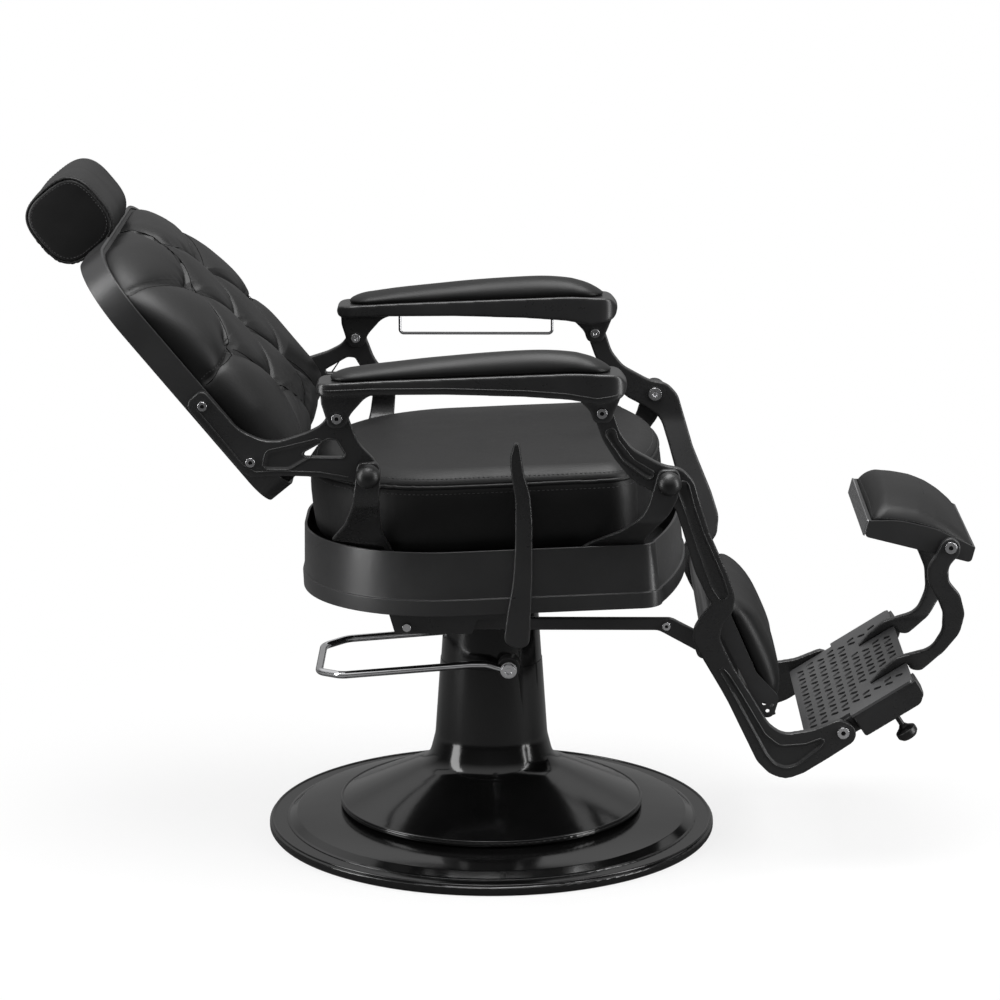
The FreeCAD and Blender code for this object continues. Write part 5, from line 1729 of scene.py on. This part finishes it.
@dataclass
class ArmRests:
    """Cranked arms with crowned pads, pivot bolts and the towel wire, in millimetres.

    Each fall holds how far the crown drops to that end and its power.
    """

    middle: float = 289.0
    half: float = 30.0
    rear: float = -218.0
    front: float = 167.0
    peak: float = 55.0
    crown: float = 28.0
    rear_fall: Pair = (17.0, 1.7)
    front_fall: Pair = (19.0, 2.3)
    foot: float = 3.0
    bulge: Pair = (2.3, 0.5)
    count: int = 260
    wave: Pair = (14.0, 0.5)
    fill: float = 0.9
    under: tuple[Pair, ...] = ((4.0, 0.4), (1.2, 0.8))
    insets: tuple[float, ...] = (
        0.02, 0.5, 1.2, 2.2, 3.6, 5.4, 7.6, 10.2, 13.2, 16.4, 19.8, 23.2, 26.4, 28.6, 29.7,
    )
    top: tuple[Pair, ...] = (
        (-238.0, 734.0), (-150.0, 739.0), (20.0, 746.0), (120.0, 750.0), (178.0, 747.0),
    )
    ridge: tuple[Pair, ...] = (
        (-226.0, 725.0), (-160.0, 728.0), (-60.0, 729.0), (50.0, 726.0), (105.0, 722.0), (148.0, 715.0),
        (180.0, 720.0),
    )
    ridge_bead: float = 1.1
    bolt_socket_shade: float = 2.8
    wire: Casting = Casting("towel_wire", "arm_left", Finish.CHROME, 0.3)

    def seat(self, along: float) -> float:
        """Gives the height of the arm's top face over the pad's frame at a place along it, mm."""
        return level_at(self.top, along) - ARM.z - along * math.tan(math.radians(ARM.lean))

    def swellings(self, along: float, inset: float) -> float:
        """Gives the height of the pad's crown over its seat.

        Args:
            along: place along the arm, mm.
            inset: distance inside the pad's edge, mm.

        Returns:
            The height, mm.
        """
        fall, power = self.rear_fall if along < self.peak else self.front_fall
        end = self.rear if along < self.peak else self.front
        ridge = self.crown - fall * ((self.peak - along) / (self.peak - end)) ** power
        share = 1.0 - inset / self.half
        return self.foot + (ridge - self.foot) * (1.0 - share ** self.bulge[0]) ** self.bulge[1]

    def plan(self, inset: float) -> list[Pair]:
        """Gives the pad's outline from above, inset by a distance."""
        half = self.half - inset
        return rounded_box((self.rear + inset, -half), (self.front - inset, half), half, self.count)

    def pad(self, word: str, side: float, palette: Palette) -> None:
        """Makes one crowned arm pad.

        Args:
            word: the side's name.
            side: -1 for the chair's right, 1 for its left.
            palette: the chair's finishes.
        """
        pad = Pad("arm_pad_" + word, "arm_leather_" + word, "arm_" + word, self.fill)
        across = side * self.middle
        rings = []
        for inset, up in self.under:
            rings.append([ARM.at(x, across + y, self.seat(x) + up) for x, y in self.plan(inset)])
        for inset in self.insets:
            plan = self.plan(inset)
            rings.append([ARM.at(x, across + y, self.seat(x) + self.swellings(x, inset)) for x, y in plan])
        pad.make(rings, self.wave, palette)

    def build(self, palette: Palette, trims: Trims) -> None:
        """Makes both pads and dresses the arms.

        Args:
            palette: the chair's finishes.
            trims: the trees that make its trims.
        """
        for word, side in SIDES:
            body = "arm_" + word
            self.pad(word, side, palette)
            made = Casting("arm_frame_" + word, body, Finish.SATIN, voxel=1.6, rounds=22).build(palette)
            line = cast_across(made, even(self.ridge, BEAD_STEP, False), side)
            trims.pipe("arm_ridge_" + word, [(line, False)], body, self.ridge_bead, Finish.SATIN)
            Casting("arm_bolts_" + word, body, Finish.CHROME, edge=0.5).build(palette)
            trims.shade_sockets("arm_bolts_" + word, body, self.bolt_socket_shade)
        self.wire.build(palette)


@dataclass
class LegRest:
    """Leg bars with the calf pad between them, in millimetres.

    The wall holds the inset and height of each ring, and the channels the corners and radii of the borders.
    """

    half: float = 152.0
    low: float = -205.0
    high: float = -38.0
    corner: float = 28.0
    least_corner: float = 8.0
    wall: tuple[Pair, ...] = (
        (7.0, 28.4), (2.0, 29.4), (0.2, 32.0), (0.0, 36.0), (0.8, 40.5), (2.6, 45.0), (5.6, 49.0),
        (10.0, 52.6), (16.0, 55.8), (24.0, 58.4), (34.0, 60.4), (44.0, 61.6),
    )
    crown: Pair = (63.0, 1.4)
    thin: Pair = (0.42, 2.6)
    count: int = 300
    levels: int = 30
    wave: Pair = (15.0, 0.8)
    fill: float = 0.85
    channels: tuple[tuple[Triple, ...], ...] = (
        ((338.0, 288.0, 8.0), (392.0, 196.0, 20.0), (414.0, 178.0, 20.0), (452.0, 181.0, 20.0),
         (478.0, 191.0, 10.0), (474.0, 180.0, 8.0), (440.0, 152.0, 20.0), (424.0, 147.0, 20.0),
         (408.0, 153.0, 18.0), (396.0, 168.0, 18.0), (322.0, 306.0, 8.0)),
        ((272.0, 594.0, 10.0), (280.0, 562.0, 30.0), (296.0, 514.0, 40.0), (324.0, 448.0, 40.0),
         (334.0, 416.0, 18.0), (326.0, 408.0, 8.0), (312.0, 430.0, 40.0), (288.0, 500.0, 40.0),
         (270.0, 556.0, 20.0), (258.0, 588.0, 10.0)),
        ((170.0, 670.0, 6.0), (176.0, 650.0, 20.0), (198.0, 622.0, 20.0), (228.0, 604.0, 8.0),
         (222.0, 596.0, 8.0), (186.0, 622.0, 30.0), (160.0, 660.0, 8.0)),
    )
    ridge_out: float = 1.8
    ridge_bead: float = 1.4
    castings: tuple[Casting, ...] = (
        Casting("leg_cross_upper", "legrest", Finish.SHEET, 0.8),
        Casting("leg_cross_lower", "legrest", Finish.SHEET, 0.8),
        Casting("calf_panel", "legrest", Finish.SHEET, 0.8),
        Casting("calf_trim", "legrest", Finish.STEEL, 0.5),
    )

    def pad(self, palette: Palette) -> None:
        """Makes the calf pad, fullest at its middle.

        Args:
            palette: the chair's finishes.
        """
        pad = Pad("calf_pad", "calf_leather", "legrest", self.fill)
        middle = (self.low + self.high) / 2
        reach = (self.high - self.low) / 2
        rings = []
        for inset, x in self.wall:
            half, low, high = self.half - inset, self.low + inset, self.high - inset
            bend = max(self.corner - 0.5 * inset, self.least_corner)
            rings.append([(x, y, z) for y, z in rounded_box((-half, low), (half, high), bend, self.count)])
        edge = rings[-1]
        top, drop = self.crown
        for k in range(1, self.levels):
            share = 1.0 - k / self.levels
            x = top - drop * share ** 2
            rings.append([(x, y * share, middle + (z - middle) * share) for _, y, z in edge])
        foot = self.wall[0][1]
        loss, power = self.thin
        formed = []
        for ring in rings:
            kept = [1.0 - loss * abs((z - middle) / reach) ** power for _, _, z in ring]
            formed.append([CALF.at(foot + (x - foot) * part, y, z) for (x, y, z), part in zip(ring, kept)])
        pad.make(formed, self.wave, palette)

    def build(self, palette: Palette, trims: Trims) -> None:
        """Makes the calf pad and dresses the bars.

        Args:
            palette: the chair's finishes.
            trims: the trees that make its trims.
        """
        self.pad(palette)
        for word, side in SIDES:
            made = Casting("leg_bar_" + word, "legrest", Finish.SATIN, voxel=1.6, rounds=7).build(palette)
            lines = [(cast_across(made, widened(loop, self.ridge_out), side), True) for loop in self.channels]
            trims.pipe("leg_ridges_" + word, lines, "legrest", self.ridge_bead, Finish.SATIN)
        for casting in self.castings:
            casting.build(palette)


@dataclass
class FootRest:
    """Pierced tread on its boxes, and the curved arms of the foot pad."""

    castings: tuple[Casting, ...] = (
        Casting("foot_frame", "footrest", Finish.SATIN, voxel=2.0, rounds=6),
        Casting("foot_tread", "footrest", Finish.TREAD, 0.7),
        Casting("foot_bolts", "footrest", Finish.CHROME, 0.5),
        Casting("toe_arm_right", "footrest", Finish.SATIN, voxel=1.6, rounds=16),
        Casting("toe_arm_left", "footrest", Finish.SATIN, voxel=1.6, rounds=16),
        Casting("clamp_knob", "knob", Finish.BALL, 0.8),
    )
    bolt_socket_shade: float = 3.4

    def build(self, palette: Palette, trims: Trims) -> None:
        """Dresses the tread, boxes, arms and clamp knob.

        Args:
            palette: the chair's finishes.
            trims: the trees that make its trims.
        """
        for casting in self.castings:
            casting.build(palette)
        trims.shade_sockets("foot_bolts", "footrest", self.bolt_socket_shade)


@dataclass
class ToeRest:
    """Tilting foot pad in its tray, in millimetres.

    Each fall holds the share of the arch that is lost at that edge and its power.
    """

    half: float = 128.0
    rear: float = -116.5
    front: float = 32.5
    apex: Pair = (-70.0, 33.0)
    front_fall: Pair = (0.7, 2.2)
    side_fall: Pair = (0.62, 2.6)
    bulge: Pair = (2.4, 0.55)
    tray_top: tuple[Pair, ...] = (
        (-121.0, 6.0), (-100.0, 11.0), (-78.0, 14.5), (-52.0, 16.5), (-27.0, 15.5), (-6.0, 12.5),
        (14.0, 8.0), (37.0, 3.0),
    )
    under: tuple[Pair, ...] = ((6.0, -13.0), (1.0, -12.0), (0.2, -6.0))
    shoulder: float = 20.0
    shoulder_steps: int = 22
    shoulder_power: float = 1.8
    inner: tuple[float, ...] = (30.0, 35.0, 41.0, 48.0, 56.0, 64.0, 70.0, 73.0, 74.3)
    corner: float = 12.0
    corner_share: float = 0.45
    count: int = 360
    wave: Pair = (15.0, 0.7)
    fill: float = 0.9
    row: Pair = (0.6, 0.1)
    stitch: Triple = (5.5, 3.8, 0.45)
    castings: tuple[Casting, ...] = (
        Casting("toe_tray", "toe", Finish.SHEET, 0.7),
        Casting("toe_end_plate", "toe", Finish.STEEL, 0.5),
        Casting("toe_bolts", "toe", Finish.CHROME, 0.5),
    )
    bolt_socket_shade: float = 3.4

    def rim(self, inset: float) -> list[Pair]:
        """Gives the pad's outline from above, inset by a distance.

        Args:
            inset: the distance, mm.

        Returns:
            Points along and across, mm.
        """
        rear, front, half = self.rear + inset, self.front - inset, self.half - inset
        turn = min(self.corner, self.corner_share * (front - rear))
        return rounded_box((rear, -half), (front, half), turn, self.count)

    def dome(self, x: float, y: float, inset: float) -> float:
        """Gives the arch's height, full at the rear and falling away to the front and sides.

        Args:
            x: place along the foot pad, mm.
            y: place across it, mm.
            inset: distance inside the rim, mm.

        Returns:
            The height, mm.
        """
        ahead = max((x - self.apex[0]) / (self.front - self.apex[0]), 0.0)
        arch = self.apex[1] * (1.0 - self.front_fall[0] * ahead ** self.front_fall[1])
        arch = arch * (1.0 - self.side_fall[0] * abs(y / self.half) ** self.side_fall[1])
        share = max(1.0 - inset / self.shoulder, 0.0)
        return level_at(self.tray_top, x) + arch * (1.0 - share ** self.bulge[0]) ** self.bulge[1]

    def ring(self, inset: float) -> Path:
        """Gives the ring of the arch at a distance inside the rim."""
        return [TOE.at(x, y, self.dome(x, y, inset)) for x, y in self.rim(inset)]

    def pad(self, palette: Palette, trims: Trims) -> None:
        """Makes the arched pad with a row of stitches round its foot.

        Args:
            palette: the chair's finishes.
            trims: the trees that make its trims.
        """
        pad = Pad("toe_pad", "toe_leather", "toe", self.fill)
        rings = [[TOE.at(x, y, z) for x, y in self.rim(inset)] for inset, z in self.under]
        for k in range(self.shoulder_steps + 1):
            rings.append(self.ring(self.shoulder * (k / self.shoulder_steps) ** self.shoulder_power))
        rings += [self.ring(inset) for inset in self.inner]
        pad.make(rings, self.wave, palette)
        inset, lift = self.row
        trims.sew("toe_stitches", [(pad.onto(self.ring(inset), lift), True)], "toe", *self.stitch)

    def build(self, palette: Palette, trims: Trims) -> None:
        """Makes the pad and dresses the tray.

        Args:
            palette: the chair's finishes.
            trims: the trees that make its trims.
        """
        self.pad(palette, trims)
        for casting in self.castings:
            casting.build(palette)
        trims.shade_sockets("toe_bolts", "toe", self.bolt_socket_shade)


@dataclass
class Studio:
    """Floor, soft lights, pale surroundings and the photograph's camera."""

    place: Triple = (0.0546, -5.3297, 1.7761)
    pitch: float = 0.23582
    yaw: float = 0.00785
    lens: float = 135.0
    sensor: float = 36.0
    far: float = 200.0
    floor: float = 60.0
    floor_rough: float = 0.9
    floor_shine: float = 0.2
    pale: Colour = (0.94, 0.94, 0.94, 1.0)
    bounce: Colour = (0.17, 0.17, 0.17, 1.0)
    shadow: Pair = (0.45, 1.1)
    glow: Pair = (0.80, 1.0)
    ambient: float = 0.30
    overhead: tuple[Pair, Pair] = ((0.1, 0.75), (0.05, 0.8))
    behind: tuple[Pair, Pair] = ((0.1, 0.8), (0.0, 0.34))
    lamps: tuple[tuple[str, Triple, Triple, Pair, float], ...] = (
        ("top_softbox", (0.1, -0.1, 3.0), (0.0, 0.0, 0.5), (2.4, 1.6), 85.0),
        ("left_strip", (-1.75, -0.6, 0.95), (0.0, 0.0, 0.6), (0.60, 1.8), 22.0),
        ("right_strip", (1.9, -0.6, 0.95), (0.2, 0.0, 0.6), (0.55, 1.8), 22.0),
    )

    def build(self) -> None:
        """Sets the camera, floor, world and lamps."""
        scene = bpy.context.scene
        scene.view_settings.view_transform = "Standard"
        camera = bpy.data.cameras.new("photo_camera")
        camera.lens = self.lens
        camera.sensor_width = self.sensor
        camera.clip_end = self.far
        holder = bpy.data.objects.new("photo_camera", camera)
        holder.location = self.place
        holder.rotation_euler = (math.pi / 2 - self.pitch, 0.0, self.yaw)
        scene.collection.objects.link(holder)
        scene.camera = holder
        self.lay_floor()
        self.surround()
        for lamp in self.lamps:
            self.hang(*lamp)

    def lay_floor(self) -> None:
        """Lays a pale floor that keeps the chair's shadow and looks white to the camera."""
        half = self.floor / 2
        corners = [(-half, -half, 0.0), (half, -half, 0.0), (half, half, 0.0), (-half, half, 0.0)]
        mesh = bpy.data.meshes.new("studio_floor")
        mesh.from_pydata(corners, [], [(0, 1, 2, 3)])
        obj = new_object("studio_floor", mesh)
        sheet = NodeSheet("studio_floor")
        sheet.set(base_color=self.bounce, roughness=self.floor_rough, specular_ior_level=self.floor_shine)
        eye = sheet.add("ShaderNodeLightPath").outputs["Is Camera Ray"]
        pale = sheet.add("ShaderNodeBsdfDiffuse")
        pale.inputs["Color"].default_value = self.pale
        seen = sheet.either(eye, sheet.shader.outputs["BSDF"], pale.outputs["BSDF"])
        away = sheet.add("ShaderNodeVectorMath", operation="LENGTH")
        sheet.link(sheet.place, away.inputs[0])
        fade = sheet.mapped(away.outputs["Value"], self.shadow, self.glow, "SMOOTHSTEP")
        glow = sheet.add("ShaderNodeEmission").outputs["Emission"]
        lit = sheet.either(sheet.maths("MULTIPLY", eye, fade), seen, glow)
        sheet.link(lit, sheet.tree.nodes["Material Output"].inputs["Surface"])
        mesh.materials.append(sheet.material)

    def surround(self) -> None:
        """Makes the world white to the eye and bright overhead and behind for reflections."""
        world = bpy.data.worlds.new("studio_world")
        bpy.context.scene.world = world
        world.use_nodes = True
        world.node_tree.nodes.clear()
        sky = NodeTree(world.node_tree)
        rays = sky.add("ShaderNodeLightPath").outputs
        split = sky.add("ShaderNodeSeparateXYZ")
        sky.link(sky.add("ShaderNodeTexCoord").outputs["Generated"], split.inputs["Vector"])
        lift = sky.mapped(split.outputs["Z"], *self.overhead, "SMOOTHSTEP")
        back = sky.mapped(split.outputs["Y"], *self.behind, "SMOOTHSTEP")
        mirrored = sky.maths("MAXIMUM", rays["Is Glossy Ray"], rays["Is Transmission Ray"])
        soft, glossy, white = [sky.add("ShaderNodeBackground") for _ in range(3)]
        for background in (soft, glossy, white):
            background.inputs["Color"].default_value = WHITE
        soft.inputs["Strength"].default_value = self.ambient
        sky.link(sky.maths("MAXIMUM", lift, back), glossy.inputs["Strength"])
        unseen = sky.either(mirrored, soft.outputs["Background"], glossy.outputs["Background"])
        shown = sky.either(rays["Is Camera Ray"], unseen, white.outputs["Background"])
        sky.link(shown, sky.add("ShaderNodeOutputWorld").inputs["Surface"])

    def hang(self, name: str, place: Triple, aim: Triple, size: Pair, power: float) -> None:
        """Hangs a soft rectangular lamp.

        Args:
            name: the lamp's name.
            place: where it hangs, m.
            aim: the point that it faces, m.
            size: its width and height, m.
            power: its power, W.
        """
        data = bpy.data.lights.new(name, "AREA")
        data.shape = "RECTANGLE"
        data.size, data.size_y = size
        data.energy = power
        obj = bpy.data.objects.new(name, data)
        obj.location = place
        obj.rotation_euler = (Vector(aim) - Vector(place)).to_track_quat("-Z", "Y").to_euler()
        obj.visible_camera = False
        bpy.context.scene.collection.objects.link(obj)


def main() -> None:
    """Builds the studio and the chair's sub-assemblies in order."""
    logging.basicConfig(level=logging.INFO, format="%(name)s: %(message)s")
    palette = Palette()
    trims = Trims(palette, WeltTree(), StitchTree(), SocketShadeTree())
    Studio().build()
    for unit in (Pedestal, SeatUnit, BackRest, HeadRest, ArmRests, LegRest, FootRest, ToeRest):
        unit().build(palette, trims)


if __name__ == "__main__":
    main()
